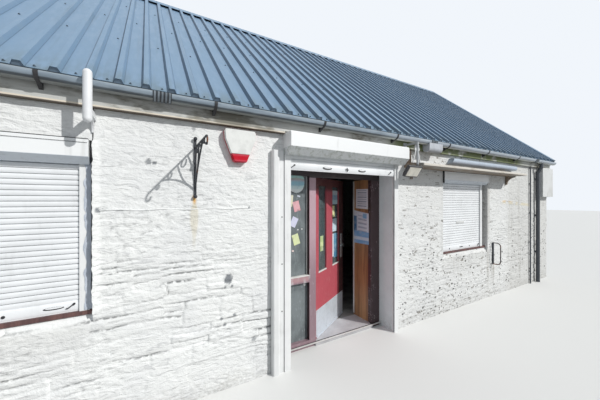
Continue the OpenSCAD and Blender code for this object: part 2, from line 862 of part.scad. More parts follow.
// Scrolled iron bracket: a wall bar, an arm with a down-curled end, a bowed brace and scrolls
module sign_bracket() {
    x = door_x0 - sign_from_door;
    bar = 20;
    top = fitting_z + 30;
    arm_z = top - 75;
    foot_z = top - sign_h + 60;
    flat = 12;
    thin = 8;
    curl = 30;
    root = 7;
    color([0.3, 0.2, 0.18]) {
        block([x - bar / 2, face_y - 8, top - sign_h], [x + bar / 2, face_y, top]);
        along_wall(x - 5, x + 5) {
            translate([0, arm_z - flat / 2]) square([sign_reach, flat]);
            translate([sign_reach, arm_z - curl]) arc_bar(curl, flat, -150, 90);
            bowed_bar([root, foot_z], [sign_reach * 0.74, arm_z], 32, flat);
            bowed_bar([root, foot_z + 10], [sign_reach * 0.16, arm_z], 20, thin);
            bowed_bar([sign_reach * 0.39, arm_z - 6], [root, foot_z + 10], 24, thin);
            for (c = [[0.25, 30], [0.56, 21], [0.82, 17]])
                translate([sign_reach * c[0], arm_z - c[1] - thin / 2]) arc_bar(c[1], thin, -200, 90);
            translate([26, arm_z - 150]) arc_bar(22, thin, -120, 180);
        }
        for (z = [top, top - sign_h]) translate([x, face_y - 17, z]) sphere(r = 16);
    }
}

// Post stub in front of the gutter, on an arm with a quarter-round gusset
module stub_post() {
    x = left_window_x1 + 3;
    r = 27;
    out = 210;
    top = wall_h - 20 - r;
    low = top - 306;
    arm = 40;
    arm_z = low + 40;
    gusset = 90;
    color("whitesmoke") {
        translate([x, face_y - out, low]) cylinder(r = r, h = top - low);
        for (z = [low, top]) translate([x, face_y - out, z]) sphere(r = r);
        block([x - arm / 2, face_y - out, arm_z], [x + arm / 2, face_y, arm_z + arm]);
        along_wall(x - 6, x + 6) difference() {
            translate([0, arm_z - gusset]) square([gusset, gusset + 1]);
            translate([gusset, arm_z - gusset]) circle(gusset - 8);
        }
    }
}

flood_out = 250;
flood_z = door_top - 3;

// Puts a child at the middle of the lamp head, tilted down
module on_flood_head() {
    translate([flood_x, face_y - flood_out, flood_z]) rotate([flood_tilt, 0, 0]) children();
}

// Lamp head with cooling fins on an arm that comes down from the eaves board
module floodlight() {
    arm = 20;
    arm_x = flood_x + 105;
    arm_z = board_z + 35;
    plate = 12;
    fins = 9;
    color([0.3, 0.3, 0.32]) {
        block([arm_x - 30, face_y - board_t - plate, arm_z - 30], [arm_x + 30, face_y - board_t, arm_z + 30]);
        block([arm_x - arm / 2, face_y - flood_out, arm_z - arm / 2],
            [arm_x + arm / 2, face_y - board_t - plate + 2, arm_z + arm / 2]);
        block([arm_x - arm / 2, face_y - flood_out - arm / 2, flood_z],
            [arm_x + arm / 2, face_y - flood_out + arm / 2, arm_z + arm / 2]);
        on_flood_head() {
            block([-125, -25, -75], [125, 10, 75]);
            for (i = [0 : fins - 1]) block([-104 + i * 25, 9, -60], [-96 + i * 25, 32, 60]);
        }
    }
}

module floodlight_glass() {
    color("lightyellow") on_flood_head() block([-108, -29, -60], [108, -25, 60]);
}

// Round iron bar bent into a flat D and built into the wall at both ends
module wall_hoop() {
    bar = 8;
    bend = 60;
    out = 130;
    low = 580;
    high = low + hoop_h;
    x = window_x0 + window_w + 189;
    color([0.35, 0.2, 0.12]) translate([x, face_y, 0]) rotate([90, 0, -90]) {
        for (z = [low + bar, high - bar])
            translate([0, z, 0]) rotate([0, 90, 0]) cylinder(r = bar, h = out - bar - bend);
        translate([out - bar, low + bar + bend, 0]) rotate([-90, 0, 0])
            cylinder(r = bar, h = high - low - 2 * bar - 2 * bend);
        translate([out - bar - bend, high - bar - bend, 0])
            rotate_extrude(angle = 90) translate([bend, 0]) circle(bar);
        translate([out - bar - bend, low + bar + bend, 0])
            rotate([0, 0, -90]) rotate_extrude(angle = 90) translate([bend, 0]) circle(bar);
    }
}

// Boxed projection at the head of the right corner
module corner_box() {
    box_h = 620;
    out = 100;
    top = board_z - 10;
    color("lightgray") block([pipe_x + 90, face_y - out, top - box_h], [half_l, face_y, top]);
}

front_wall_left();
front_wall_right();
door_lintel();
back_wall();
left_gable_wall();
right_gable_wall();
floor_slab();
door_step();
rafters();
ridge_board();
purlins();
roof_sheets_front();
roof_sheets_back();
ridge_cap();
verge_flashings();
eaves_boards();
eaves_ledge();
eaves_casing();
gutters();
gutter_brackets();
gutter_unions();
gutter_outlet();
downpipes();
conduit();
door_frame();
sidelight_glass();
door_leaf();
door_glass();
kick_plate();
door_handle();
door_hinges();
hinge_leaves();
ingo_lining();
door_shutter_box();
door_shutter_rails();
door_shutter_curtain();
window_shutter_boxes();
window_shutter_rails();
window_shutter_curtains();
window_frames();
window_glass();
side_casing();
alarm_base();
alarm_cover();
sign_bracket();
stub_post();
floodlight();
floodlight_glass();
wall_hoop();
corner_box();
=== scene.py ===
"""Looks of the corner shop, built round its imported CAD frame. Metres, in the frame's own axes."""
import math

import bmesh
import bpy
from mathutils import Matrix, Vector, noise


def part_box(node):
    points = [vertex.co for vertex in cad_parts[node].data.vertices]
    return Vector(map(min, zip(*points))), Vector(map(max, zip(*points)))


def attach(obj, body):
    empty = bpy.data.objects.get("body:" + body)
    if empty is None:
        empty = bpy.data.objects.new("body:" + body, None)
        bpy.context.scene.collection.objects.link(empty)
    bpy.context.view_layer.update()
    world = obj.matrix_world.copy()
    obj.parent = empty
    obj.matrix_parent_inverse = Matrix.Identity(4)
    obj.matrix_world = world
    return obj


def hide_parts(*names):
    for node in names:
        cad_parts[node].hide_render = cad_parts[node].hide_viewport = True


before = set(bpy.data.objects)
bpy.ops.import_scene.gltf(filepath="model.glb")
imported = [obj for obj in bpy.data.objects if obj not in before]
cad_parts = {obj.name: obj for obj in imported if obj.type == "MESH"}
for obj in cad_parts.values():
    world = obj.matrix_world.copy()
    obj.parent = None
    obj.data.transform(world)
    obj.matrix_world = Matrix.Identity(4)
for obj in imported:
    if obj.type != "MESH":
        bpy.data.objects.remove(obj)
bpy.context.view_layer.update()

# Main lines of the building, as the CAD source has them
HALF_L, HALF_D = 5.95, 2.83
WALL_T, WALL_H = 0.58, 2.65
FACE_Y = -HALF_D
DOOR_X0, DOOR_X1, DOOR_TOP = -0.668, 0.878, 2.12
FLOOR_Z = 0.045
HINGE_X, HINGE_Y = -0.1965, -2.523
LEAF_OPEN = math.radians(30)
WINDOW_W, WINDOW_Z, WINDOW_TOP = 1.325, 0.9, 2.19
LEFT_X0, RIGHT_X0 = -3.628, 2.006
SILL_FOOT, SILL_IN = 0.839, 0.06
PITCH = math.radians(41.25)
SHEET_Y, SHEET_Z = 2.93, 2.6053
RIDGE_Z = 5.1749
RIB = 0.178
GUTTER_Y, GUTTER_Z = 2.936, 2.58
BOX_W, BOX_FOOT, RAIL_FOOT = 1.304, 2.013, 0.93


# Camera, light and floor

def look_from(place, turn, lens):
    data = bpy.data.cameras.new("camera")
    data.sensor_width = 36
    data.lens = lens
    camera = bpy.data.objects.new("camera", data)
    camera.location = place
    camera.rotation_euler = (math.pi / 2, 0, math.radians(turn))
    bpy.context.collection.objects.link(camera)
    bpy.context.scene.camera = camera


def lamp(towards, strength, softness, colour):
    data = bpy.data.lights.new("sun", "SUN")
    data.energy = strength
    data.angle = math.radians(softness)
    data.color = colour
    sun = bpy.data.objects.new("sun", data)
    sun.rotation_euler = Vector(towards).to_track_quat("Z", "Y").to_euler()
    bpy.context.collection.objects.link(sun)


look_from((-1.956, -5.30, 1.75), -29.87, 16.02)
lamp((0.68, -1.0, 0.775), 2.80, 1.2, (1.0, 0.985, 0.95))
bpy.context.scene.view_settings.view_transform = "Standard"


# Shader maths

class Signal:
    """A node's output that takes part in ordinary arithmetic; each sum adds its Math node."""

    def __init__(self, finish, socket):
        self.finish = finish
        self.socket = socket

    def __add__(self, other):
        return self.finish.math("ADD", self, other)

    def __sub__(self, other):
        return self.finish.math("SUBTRACT", self, other)

    def __rsub__(self, other):
        return self.finish.math("SUBTRACT", other, self)

    def __mul__(self, other):
        return self.finish.math("MULTIPLY", self, other)

    __radd__ = __add__
    __rmul__ = __mul__


class Finish:
    """A material, or the world, and the few nodes that its colour, roughness and relief are made of."""

    def __init__(self, name, library=bpy.data.materials, shader="Principled BSDF"):
        self.made = library.new(name)
        self.made.use_nodes = True
        self.tree = self.made.node_tree
        self.shader = self.tree.nodes[shader]
        self.spot = None

    def plug(self, socket, value):
        if isinstance(value, Signal):
            self.tree.links.new(value.socket, socket)
        elif isinstance(value, tuple) and len(value) == 3 and socket.type == "RGBA":
            socket.default_value = (*value, 1.0)
        else:
            socket.default_value = value

    def add(self, kind, settings, sockets, output=0):
        """Adds a node: its settings first, then the values or links of its sockets."""
        node = self.tree.nodes.new("ShaderNode" + kind)
        for key, value in settings.items():
            if key == "stops":
                elements = node.color_ramp.elements
                elements.remove(elements[1])
                elements[0].position, elements[0].color = value[0][0], (*value[0][1], 1)
                for place, colour in value[1:]:
                    elements.new(place).color = (*colour, 1)
            else:
                setattr(node, key, value)
        for key, value in sockets.items():
            self.plug(node.inputs[key], value)
        return Signal(self, node.outputs[output])

    def math(self, operation, *values):
        return self.add("Math", {"operation": operation}, dict(enumerate(values)))

    def place(self):
        if self.spot is None:
            self.spot = self.add("TexCoord", {}, {}, "Object")
        return self.spot

    def stretched(self, scale, turn=(0, 0, 0)):
        return self.add("Mapping", {}, {"Vector": self.place(), "Rotation": turn, "Scale": scale})

    def along(self, axis):
        return self.add("SeparateXYZ", {}, {0: self.place()}, axis)

    def cloud(self, scale, stretch=(1, 1, 1), detail=4, rough=0.55, bend=0.0, turn=(0, 0, 0)):
        sockets = {"Vector": self.stretched(stretch, turn), "Scale": scale, "Detail": detail,
                   "Roughness": rough, "Distortion": bend}
        return self.add("TexNoise", {}, sockets, "Fac")

    def cells(self, scale, stretch=(1, 1, 1)):
        return self.add("TexVoronoi", {}, {"Vector": self.stretched(stretch), "Scale": scale}, "Distance")

    def step(self, value, low, high, to_low=0.0, to_high=1.0):
        """Smooth change from to_low to to_high as the value passes from low to high."""
        sockets = {"Value": value, "From Min": low, "From Max": high, "To Min": to_low, "To Max": to_high}
        return self.add("MapRange", {"interpolation_type": "SMOOTHSTEP"}, sockets)

    def past(self, axis, *limits):
        """The same change on the way along an axis of the building."""
        return self.step(self.along(axis), *limits)

    def band(self, axis, low, high, soft):
        """One between two heights or places along an axis, with soft edges."""
        return self.past(axis, low - soft, low) * self.past(axis, high, high + soft, 1, 0)

    def mix(self, share, one, other):
        return self.add("Mix", {"data_type": "RGBA"}, {0: share, 6: one, 7: other}, 2)

    def attribute(self, name, output="Fac"):
        return self.add("Attribute", {"attribute_name": name}, {}, output)

    def set(self, **sockets):
        for name, value in sockets.items():
            self.plug(self.shader.inputs[name.replace("_", " ")], value)

    def look(self, colour, rough, relief, depth, **others):
        """Ends a finish with its colour, its roughness and its relief, which is depth metres high."""
        bump = self.add("Bump", {}, {"Height": relief, "Distance": depth, "Strength": 1.0})
        self.set(Base_Color=colour, Roughness=rough, Normal=bump, **others)
        return self.made

    def seen_apart(self, lit, seen, end):
        """Shows one shader to the camera, glossy and transmission rays, and lights with another."""
        path = self.add("LightPath", {}, {}, "Is Camera Ray")
        glossy, through = (Signal(self, path.socket.node.outputs[name])
                           for name in ("Is Glossy Ray", "Is Transmission Ray"))
        rays = self.math("MAXIMUM", self.math("MAXIMUM", path, glossy), through)
        both = self.add("MixShader", {}, {0: rays, 1: lit, 2: seen})
        self.plug(self.tree.nodes[end].inputs["Surface"], both)
        return self.made


def toned(colour, share, lift=0.0):
    """A colour made darker or paler."""
    return tuple(min(1, lift + share * c) for c in colour)


def studio():
    """Pale world that is seen brighter than the light it gives."""
    f = Finish("studio", bpy.data.worlds, "Background")
    f.set(Color=(0.88, 0.94, 1.0), Strength=0.51)
    bright = f.add("Background", {}, {"Color": (0.88, 0.92, 0.97), "Strength": 1.0})
    bpy.context.scene.world = f.seen_apart(Signal(f, f.shader.outputs[0]), bright, "World Output")


studio()


# Finishes

def wall_finish():
    """Whitewash over rubble: dark in the joints, pitted and flaked on the right, stained here and there, with
    painted shade in flecks and dashes along its ripples.
    """
    f = Finish("whitewash")
    grain = f.cloud(38, stretch=(0.8, 0.8, 1), detail=5, rough=0.62)
    ripple = f.cloud(15, stretch=(0.55, 0.55, 1.5), rough=0.56, bend=0.9, turn=(0, 0.30, 0))
    blotch = f.step(f.cloud(2.3, detail=5, rough=0.6), 0.40, 0.66)
    right = f.past("X", 0.6, 1.2)
    white = f.mix(blotch, (0.885, 0.895, 0.89), (0.83, 0.84, 0.845))
    duller = f.mix(right * 0.55, white, (0.74, 0.745, 0.74))
    inside = FACE_Y + WALL_T
    reveal = (f.band("X", DOOR_X0 - 0.0005, DOOR_X1 + 0.0005, 0.0005)
              * f.past("Y", inside + 0.05, inside + 0.15, 1, 0))
    open_wall = 1 - reveal
    # Painted shade: grey flecks where the ripple pattern stands high.
    ripple_shade_flecks = f.step(ripple, 0.58, 0.68) * f.step(f.cloud(2.9, detail=3), 0.44, 0.60, 0.1, 1)
    mottled = f.mix(ripple_shade_flecks * 0.42, duller, (0.47, 0.48, 0.50))
    # The joint attribute holds dark joints and painted shade in dashes along the ripples.
    joint = f.attribute("joint") * f.step(grain, 0.38, 0.56, 0.10, 0.9)
    lined = f.mix(joint, mottled, (0.13, 0.135, 0.14))
    holes = f.step(f.cells(17, (1, 1, 1.5)), 0.20, 0.30, 1, 0) * f.step(f.cloud(4.5), 0.49, 0.57)
    large = f.step(f.cells(7, (1, 1, 1.5)), 0.13, 0.20, 1, 0) * f.step(f.cloud(3, detail=2), 0.46, 0.54)
    low = f.past("Z", 1.60, 0.90, 0.15, 1)
    pits = f.math("MAXIMUM", holes, large) * low * f.step(right, 0, 1, 0.04, 1)
    pitted = f.mix(pits * open_wall, lined, (0.085, 0.08, 0.08))
    beyond = f.past("X", 3.3, 3.7, 1, 0.35)
    flaked = f.step(f.cloud(11, stretch=(0.7, 0.7, 1.9), detail=6, rough=0.75), 0.575, 0.625) * right * beyond
    bared = f.mix(flaked * open_wall, pitted, (0.27, 0.255, 0.235))
    foot = f.step(f.along("Z") + f.cloud(5, stretch=(1, 1, 0.5)) * 0.30, 0.10, 0.42, 1, 0)
    smooth = f.mix(reveal, bared, f.mix(blotch, (0.90, 0.96, 0.98), (0.82, 0.88, 0.90)))
    patched = f.mix(f.attribute("bare"), smooth, (0.19, 0.205, 0.225))
    dirty = f.mix(foot * f.step(grain, 0.36, 0.70, 0.05, 0.55), patched, (0.44, 0.43, 0.40))
    streaks = f.step(f.cloud(9, stretch=(1, 1, 0.07)), 0.53, 0.72)
    runs = f.mix(f.attribute("grime") * f.step(streaks, 0, 1, 0.45, 1), dirty, (0.30, 0.28, 0.24))
    ochre = f.mix(f.past("Z", 1.70, 1.75), (0.72, 0.67, 0.54), (0.80, 0.45, 0.12))
    rusted = f.mix(f.attribute("rust"), runs, ochre)
    relief = (grain * 0.36 + ripple * 1.15 + f.cloud(140, detail=3) * 0.15) * (1 - reveal * 0.8)
    return f.look(rusted, f.step(grain, 0.2, 0.8, 0.8, 0.95), relief, 0.0135)


def roof_finish():
    """Blue-grey plastic coat on the sheets, chalky in patches and mossy along their feet, with painted shade
    on each rib's left flank and at its right foot.
    """
    f = Finish("coated_sheet")
    dust = f.cloud(16, stretch=(1, 0.25, 0.25), detail=5)
    blue = f.mix(f.cloud(0.8, detail=3), (0.166, 0.270, 0.398), (0.197, 0.304, 0.432))
    coat = f.mix(f.past("X", 2.5, 5.5, 0, 0.3), blue, (0.10, 0.155, 0.23))
    dulled = f.mix(f.step(dust, 0.50, 0.78, 0, 0.30), coat, (0.26, 0.33, 0.39))
    runs = f.step(f.cloud(13, stretch=(1, 0.05, 0.05), detail=3), 0.56, 0.75) * 0.25
    stained = f.mix(runs, dulled, (0.10, 0.14, 0.17))
    low = f.past("Z", 2.58, 2.86, 0.45, 0) * f.step(dust, 0.35, 0.6)
    mossy = f.mix(low, stained, (0.12, 0.15, 0.13))
    across = f.math("FRACT", f.along("X") * (1 / RIB) + 40.5)
    # Painted shade: a dark band on each rib's left flank and a thin line at its right foot.
    flank_shade = f.step(across, 0.300, 0.316) * f.step(across, 0.390, 0.400, 1, 0)
    foot = f.step(across, 0.678, 0.686) * f.step(across, 0.700, 0.712, 1, 0)
    lined = f.mix(flank_shade * 0.55 + foot * 0.5, mossy, (0.040, 0.068, 0.105))
    return f.look(lined, f.step(dust, 0.3, 0.75, 0.42, 0.60), f.cloud(3, stretch=(1, 0.4, 0.4)), 0.004)


def weathered_board():
    """Grey weathered boards with old paint left in patches and a cream lower edge that is a painted
    highlight, mossy at the right, with painted shadow in a dark strip at their foot.
    """
    f = Finish("weathered_board")
    fibre = f.cloud(60, stretch=(0.05, 1, 1), detail=5)
    worn = f.cloud(6, stretch=(0.35, 1, 1), detail=5, rough=0.65)
    paint = f.mix(fibre, (0.56, 0.56, 0.55), (0.70, 0.70, 0.69))
    bare = f.mix(fibre, (0.17, 0.155, 0.135), (0.35, 0.33, 0.30))
    colour = f.mix(f.step(worn, 0.46, 0.62), paint, bare)
    wet = f.step(f.cloud(4, detail=3), 0.28, 0.46)
    green = wet * f.past("X", 0.6, 1.0, 0.12, 0.95) * f.past("X", 4.2, 4.8, 1, 0.2)
    mossy = f.mix(green, colour, (0.13, 0.16, 0.055))
    # Painted highlight: the cream strip along the board's lower edge.
    lip = f.band("Z", 2.431, 2.440, 0.0015) * f.step(worn, 0.45, 0.65, 1, 0.35)
    edge_highlighted = f.mix(lip, mossy, (0.78, 0.70, 0.58))
    # Painted shadow: a dark strip at the board's foot, against the wall.
    shaded = f.mix(f.past("Z", 2.4285, 2.4305, 1, 0) * 0.9, edge_highlighted, (0.07, 0.045, 0.025))
    return f.look(shaded, f.step(worn, 0.4, 0.7, 0.6, 0.9), fibre + worn, 0.003)


def ledge_finish():
    """Brown timber whose front edge keeps its cream paint."""
    f = Finish("ledge_timber")
    fibre = f.cloud(50, stretch=(0.05, 1, 1), detail=5)
    worn = f.cloud(7, stretch=(0.3, 1, 1), detail=5, rough=0.65)
    bare = f.mix(fibre, (0.15, 0.10, 0.065), (0.27, 0.20, 0.14))
    grey = f.mix(f.step(worn, 0.42, 0.62), bare, (0.34, 0.32, 0.29))
    cream = f.mix(f.step(worn, 0.50, 0.70), (0.66, 0.62, 0.56), (0.42, 0.37, 0.31))
    colour = f.mix(f.past("Y", -3.130, -3.126, 1, 0), grey, cream)
    return f.look(colour, f.step(worn, 0.4, 0.7, 0.6, 0.9), fibre + worn, 0.002)


def boxed_finish():
    """White powder coat on the shutter boxes, green-grey with dirt on the door box's slope; the window boxes'
    slopes are painted blue-grey as shade, and a dark painted shadow line lies at the door box's foot.
    """
    f = Finish("box_coat")
    broad = f.cloud(3.2, detail=5, rough=0.62)
    spots = f.cloud(24, detail=6, rough=0.7)
    runs = f.step(f.cloud(26, stretch=(1, 1, 0.10)), 0.55, 0.75) * f.step(broad, 0.42, 0.62) * 0.25
    base = f.mix(f.step(broad, 0.35, 0.65), (0.92, 0.935, 0.945), (0.89, 0.905, 0.915))
    faint = f.mix(runs, base, (0.40, 0.41, 0.40))
    lichen = f.mix(f.step(spots, 0.46, 0.66), (0.70, 0.735, 0.745), (0.40, 0.44, 0.39))
    # Painted shade: blue-grey on the window boxes' slopes.
    shaded = f.mix(f.step(spots, 0.50, 0.75), (0.60, 0.66, 0.73), (0.46, 0.50, 0.54))
    door_slope = f.mix(f.band("Z", 2.200, 2.281, 0.004) * 0.8, faint, lichen)
    window_slope = f.mix(f.band("Z", 1.95, 2.064, 0.003) * 0.9, door_slope, shaded)
    # Painted shadow: a dark line at the slot where the door's curtain leaves its box.
    slot_shadow = f.mix(f.band("Z", 2.198, 2.2045, 0.0015) * 0.8, window_slope, (0.10, 0.11, 0.11))
    relief = f.cloud(90, stretch=(0.3, 0.3, 1)) * 0.5 + broad
    return f.look(slot_shadow, f.step(broad, 0.3, 0.7, 0.30, 0.5), relief, 0.0010)


def painted_board(name, colour, dirt, dirt_share, rough=0.4):
    """Brushed paint on board or pressed metal, with soft dirt that gathers in runs."""
    f = Finish(name)
    broad = f.cloud(3.2, detail=5, rough=0.62)
    base = f.mix(f.step(broad, 0.35, 0.65), colour, toned(colour, 0.93))
    runs = f.step(f.cloud(26, stretch=(1, 1, 0.10)), 0.50, 0.74)
    share = runs * f.step(broad, 0.42, 0.62) * dirt_share
    relief = f.cloud(90, stretch=(0.3, 0.3, 1)) * 0.5 + broad
    uneven = f.step(broad, 0.3, 0.7, rough - 0.06, rough + 0.16)
    return f.look(f.mix(share, base, dirt), uneven, relief, 0.0012)


def gutter_finish():
    """Dark plastic, bleached pale at the right; its paler upper half is partly a film of dust and partly
    painted sheen, and its bright rim and the pale line along its bottom are painted highlights.
    """
    f = Finish("gutter_plastic")
    dust = f.cloud(22, stretch=(0.2, 1, 1), detail=5)
    height = f.along("Z") + dust * 0.006
    dark = f.mix(f.step(dust, 0.40, 0.68), (0.055, 0.068, 0.082), (0.12, 0.145, 0.165))
    # Paler upper half: partly a film of dust, partly painted sheen on the lit top.
    film = f.mix(f.step(dust, 0.35, 0.65), (0.24, 0.30, 0.36), (0.34, 0.41, 0.48))
    dusty = f.mix(f.step(height, 2.543, 2.553), dark, film)
    # Painted highlight: a bright line along the rim.
    rim = f.mix(f.step(height, 2.575, 2.579), dusty, (0.34, 0.40, 0.45))
    bleached = f.step(f.along("X") + f.cloud(2.6, stretch=(0.6, 1, 1)) * 1.2, 0.9, 2.0)
    pale = f.mix(bleached * f.step(dust, 0.25, 0.6, 0.6, 0.95), rim, (0.47, 0.53, 0.60))
    # Painted highlight: a pale line along the gutter's bottom.
    bottom_highlight = f.past("Z", 2.530, 2.533, 1, 0)
    lined = f.mix(bottom_highlight * (bleached * 0.55 + 0.25), pale, (0.80, 0.82, 0.76))
    moss = f.step(f.cloud(9), 0.50, 0.62) * f.past("Z", 2.50, 2.56, 1, 0) * bleached
    mossy = f.mix(moss * 0.4, lined, (0.15, 0.18, 0.07))
    return f.look(mossy, f.step(dust, 0.3, 0.7, 0.32, 0.6), dust, 0.001)


def union_finish():
    """Dusty ribs on dark sleeves: the ribs stand farther from the gutter's middle line."""
    f = Finish("union_plastic")
    dust = f.cloud(26, stretch=(1, 1, 0.4))
    out = f.math("ABSOLUTE", f.along("Y")) - GUTTER_Y
    up = f.along("Z") - GUTTER_Z
    raised = f.step(out * out + up * up, 0.0612 ** 2, 0.0630 ** 2)
    rib = f.mix(f.step(dust, 0.35, 0.65), (0.24, 0.28, 0.32), (0.15, 0.18, 0.21))
    colour = f.mix(raised, (0.030, 0.036, 0.044), rib)
    return f.look(colour, f.step(dust, 0.3, 0.7, 0.35, 0.55), dust, 0.0006)


def plain_plastic(name, colour, rough):
    f = Finish(name)
    broad = f.cloud(12)
    clouded = f.mix(f.step(broad, 0.35, 0.7), colour, toned(colour, 0.82))
    return f.look(clouded, f.step(broad, 0.3, 0.7, rough, rough + 0.14), f.cloud(160, detail=3), 0.0006)


def frame_finish():
    """Lilac-grey paint on the mullion, browner below, far darker on the right post; the rebate and the head
    are painted near-black as shade.
    """
    f = Finish("mauve_paint")
    fibre = f.cloud(70, stretch=(1, 1, 0.05))
    broad = f.cloud(6, detail=5, rough=0.65)
    worn = f.step(f.cloud(24, stretch=(1, 1, 0.4), detail=5), 0.50, 0.66)
    lilac = f.mix(broad, (0.53, 0.365, 0.42), (0.44, 0.29, 0.335))
    brown = f.mix(f.past("Z", 0.75, 1.45), (0.28, 0.185, 0.215), lilac)
    transom = f.band("Z", 0.80, 0.865, 0.02) * f.past("X", -0.29, -0.285, 1, 0)
    redder = f.mix(transom, brown, (0.42, 0.25, 0.27))
    rubbed = f.mix(worn * (f.band("Z", 0.62, 0.90, 0.12) * 0.6 + 0.12), redder, (0.56, 0.51, 0.53))
    plum = f.mix(broad, (0.065, 0.034, 0.038), (0.040, 0.022, 0.026))
    chipped = f.step(f.cloud(5, detail=3), 0.57, 0.63) * f.step(f.cloud(50, detail=5), 0.54, 0.62) * 0.5
    dark = f.mix(chipped, plum, (0.46, 0.38, 0.38))
    # Painted shade: the rebate on the mullion's left side.
    rebate_shade = f.band("X", -0.2768, -0.2735, 0.0004) * f.past("Y", -2.599, -2.597)
    edges = f.mix(rebate_shade, rubbed, (0.045, 0.018, 0.022))
    post = f.mix(f.past("X", 0.708, 0.712), edges, dark)
    # Painted shade: the head, under the shutter box.
    head = f.mix(f.past("Z", 2.014, 2.018), post, (0.035, 0.024, 0.026))
    return f.look(head, f.step(broad, 0.3, 0.75, 0.36, 0.6), fibre + broad * 0.5, 0.0012, Coat_Weight=0.2)


def leaf_finish():
    """Old red gloss, rubbed at the leaf's lower parts; its free stile and its top are painted near-black as
    shade.
    """
    f = Finish("red_paint")
    red = (0.52, 0.095, 0.125)
    fibre = f.cloud(70, stretch=(1, 1, 0.04))
    broad = f.cloud(5, detail=5, rough=0.65)
    scuffs = f.step(f.cloud(30, stretch=(1, 1, 0.4), detail=5), 0.57, 0.70) * f.past("Z", 0.2, 1.0, 0.8, 0.25)
    cosine, sine = math.cos(LEAF_OPEN), math.sin(LEAF_OPEN)
    from_hinge = f.along("X") * cosine + f.along("Y") * sine - (HINGE_X * cosine + HINGE_Y * sine)
    # Painted shade: the free stile and the top of the leaf.
    free_stile_shade = f.step(from_hinge, 0.757, 0.763, 0, 0.92)
    top = f.past("Z", 1.84, 1.91, 0, 0.85)
    painted_shade = f.mix(f.math("MAXIMUM", free_stile_shade, top), f.mix(broad, red, toned(red, 0.8)), (0.036, 0.023, 0.021))
    rubbed = f.mix(scuffs, painted_shade, (0.54, 0.24, 0.24))
    return f.look(rubbed, f.step(broad, 0.3, 0.75, 0.34, 0.54), fibre + broad * 0.5, 0.0012, Coat_Weight=0.25)


def varnished_wood(name, pale, dark, rough):
    f = Finish(name)
    rings = f.cloud(14, stretch=(1, 1, 0.06), detail=5, bend=0.6)
    fibre = f.cloud(150, stretch=(1, 1, 0.03), detail=3)
    grain = f.mix(f.step(rings, 0.38, 0.62), dark, pale)
    deep = f.mix(f.step(fibre, 0.5, 0.75, 0, 0.5), grain, toned(dark, 0.6))
    return f.look(deep, f.step(rings, 0.3, 0.7, rough, rough + 0.15), rings + fibre, 0.0012)


def brushed_metal(name, colour, rough, brush=(1, 1, 0.03), dull=0.72, metal=0.85):
    f = Finish(name)
    lines = f.cloud(320, stretch=brush, detail=3)
    smear = f.cloud(11, detail=5)
    scratch = f.step(f.cloud(34, stretch=(0.25, 0.25, 1), detail=5, bend=1.2), 0.58, 0.70)
    tone = f.mix(f.step(smear, 0.40, 0.68), colour, toned(colour, dull))
    worn = f.mix(scratch * 0.3, tone, toned(colour, dull - 0.15))
    uneven = f.step(smear, 0.3, 0.7, rough, rough + 0.2) + lines * 0.1
    return f.look(worn, uneven, lines, 0.0004, Metallic=metal)


def old_iron(name, paint, share):
    """Old paint on wrought iron, with rust where it has flaked."""
    f = Finish(name)
    flake = f.cloud(45, detail=6, rough=0.7)
    rust = f.add("ValToRGB", {"stops": [(0.30, (0.05, 0.028, 0.02)), (0.48, (0.16, 0.06, 0.03)),
                                        (0.62, (0.30, 0.12, 0.05)), (0.78, (0.36, 0.20, 0.11))]}, {0: flake})
    colour = f.mix(f.step(f.cloud(9), 0.66 - 0.3 * share, 0.76 - 0.3 * share), paint, rust)
    return f.look(colour, f.step(flake, 0.3, 0.7, 0.6, 0.95), flake, 0.004, Metallic=0.15)


def clear_glass(name, tint, alpha, rough=0.04):
    """Pane with a film of dust; the film is what keeps it from being clear all over."""
    f = Finish(name)
    film = f.step(f.cloud(3.2, detail=5, bend=0.8) * 0.7 + f.cloud(14, stretch=(1, 1, 0.2)) * 0.3, 0.36, 0.66)
    rubs = f.step(f.cloud(24, stretch=(1, 1, 0.35), detail=5, bend=2.0), 0.56, 0.66) * 0.5
    dusty = f.mix(film, tint, toned(tint, 1.2, 0.04))
    f.set(Base_Color=f.mix(rubs, dusty, toned(tint, 1.7, 0.08)),
          Roughness=f.step(film, 0, 1, rough, rough + 0.12), Alpha=f.step(film, 0, 1, alpha, alpha + 0.14))
    return f.made


def lamp_finish():
    """Dark lamp head on a pale grey arm."""
    f = Finish("lamp_coat")
    broad = f.cloud(14, detail=5)
    head = f.mix(broad, (0.05, 0.05, 0.055), (0.085, 0.085, 0.09))
    arm = f.mix(broad, (0.50, 0.52, 0.54), (0.34, 0.36, 0.38))
    colour = f.mix(f.past("Z", 2.200, 2.215), head, arm)
    return f.look(colour, f.step(broad, 0.3, 0.7, 0.35, 0.55), f.cloud(150), 0.0005)


def printed_finish():
    """Paper and film in their own tints, with pale creases and a little fading."""
    f = Finish("printed_paper")
    faded = f.cloud(16, detail=5, rough=0.65)
    crease = f.cloud(42, bend=0.8)
    softer = f.mix(f.step(faded, 0.42, 0.68, 0, 0.30), f.attribute("tint", "Color"), (0.72, 0.74, 0.76))
    creased = f.mix(f.step(crease, 0.56, 0.72, 0, 0.30), softer, (0.30, 0.32, 0.36))
    return f.look(creased, f.step(faded, 0.3, 0.7, 0.45, 0.65), crease, 0.0015)


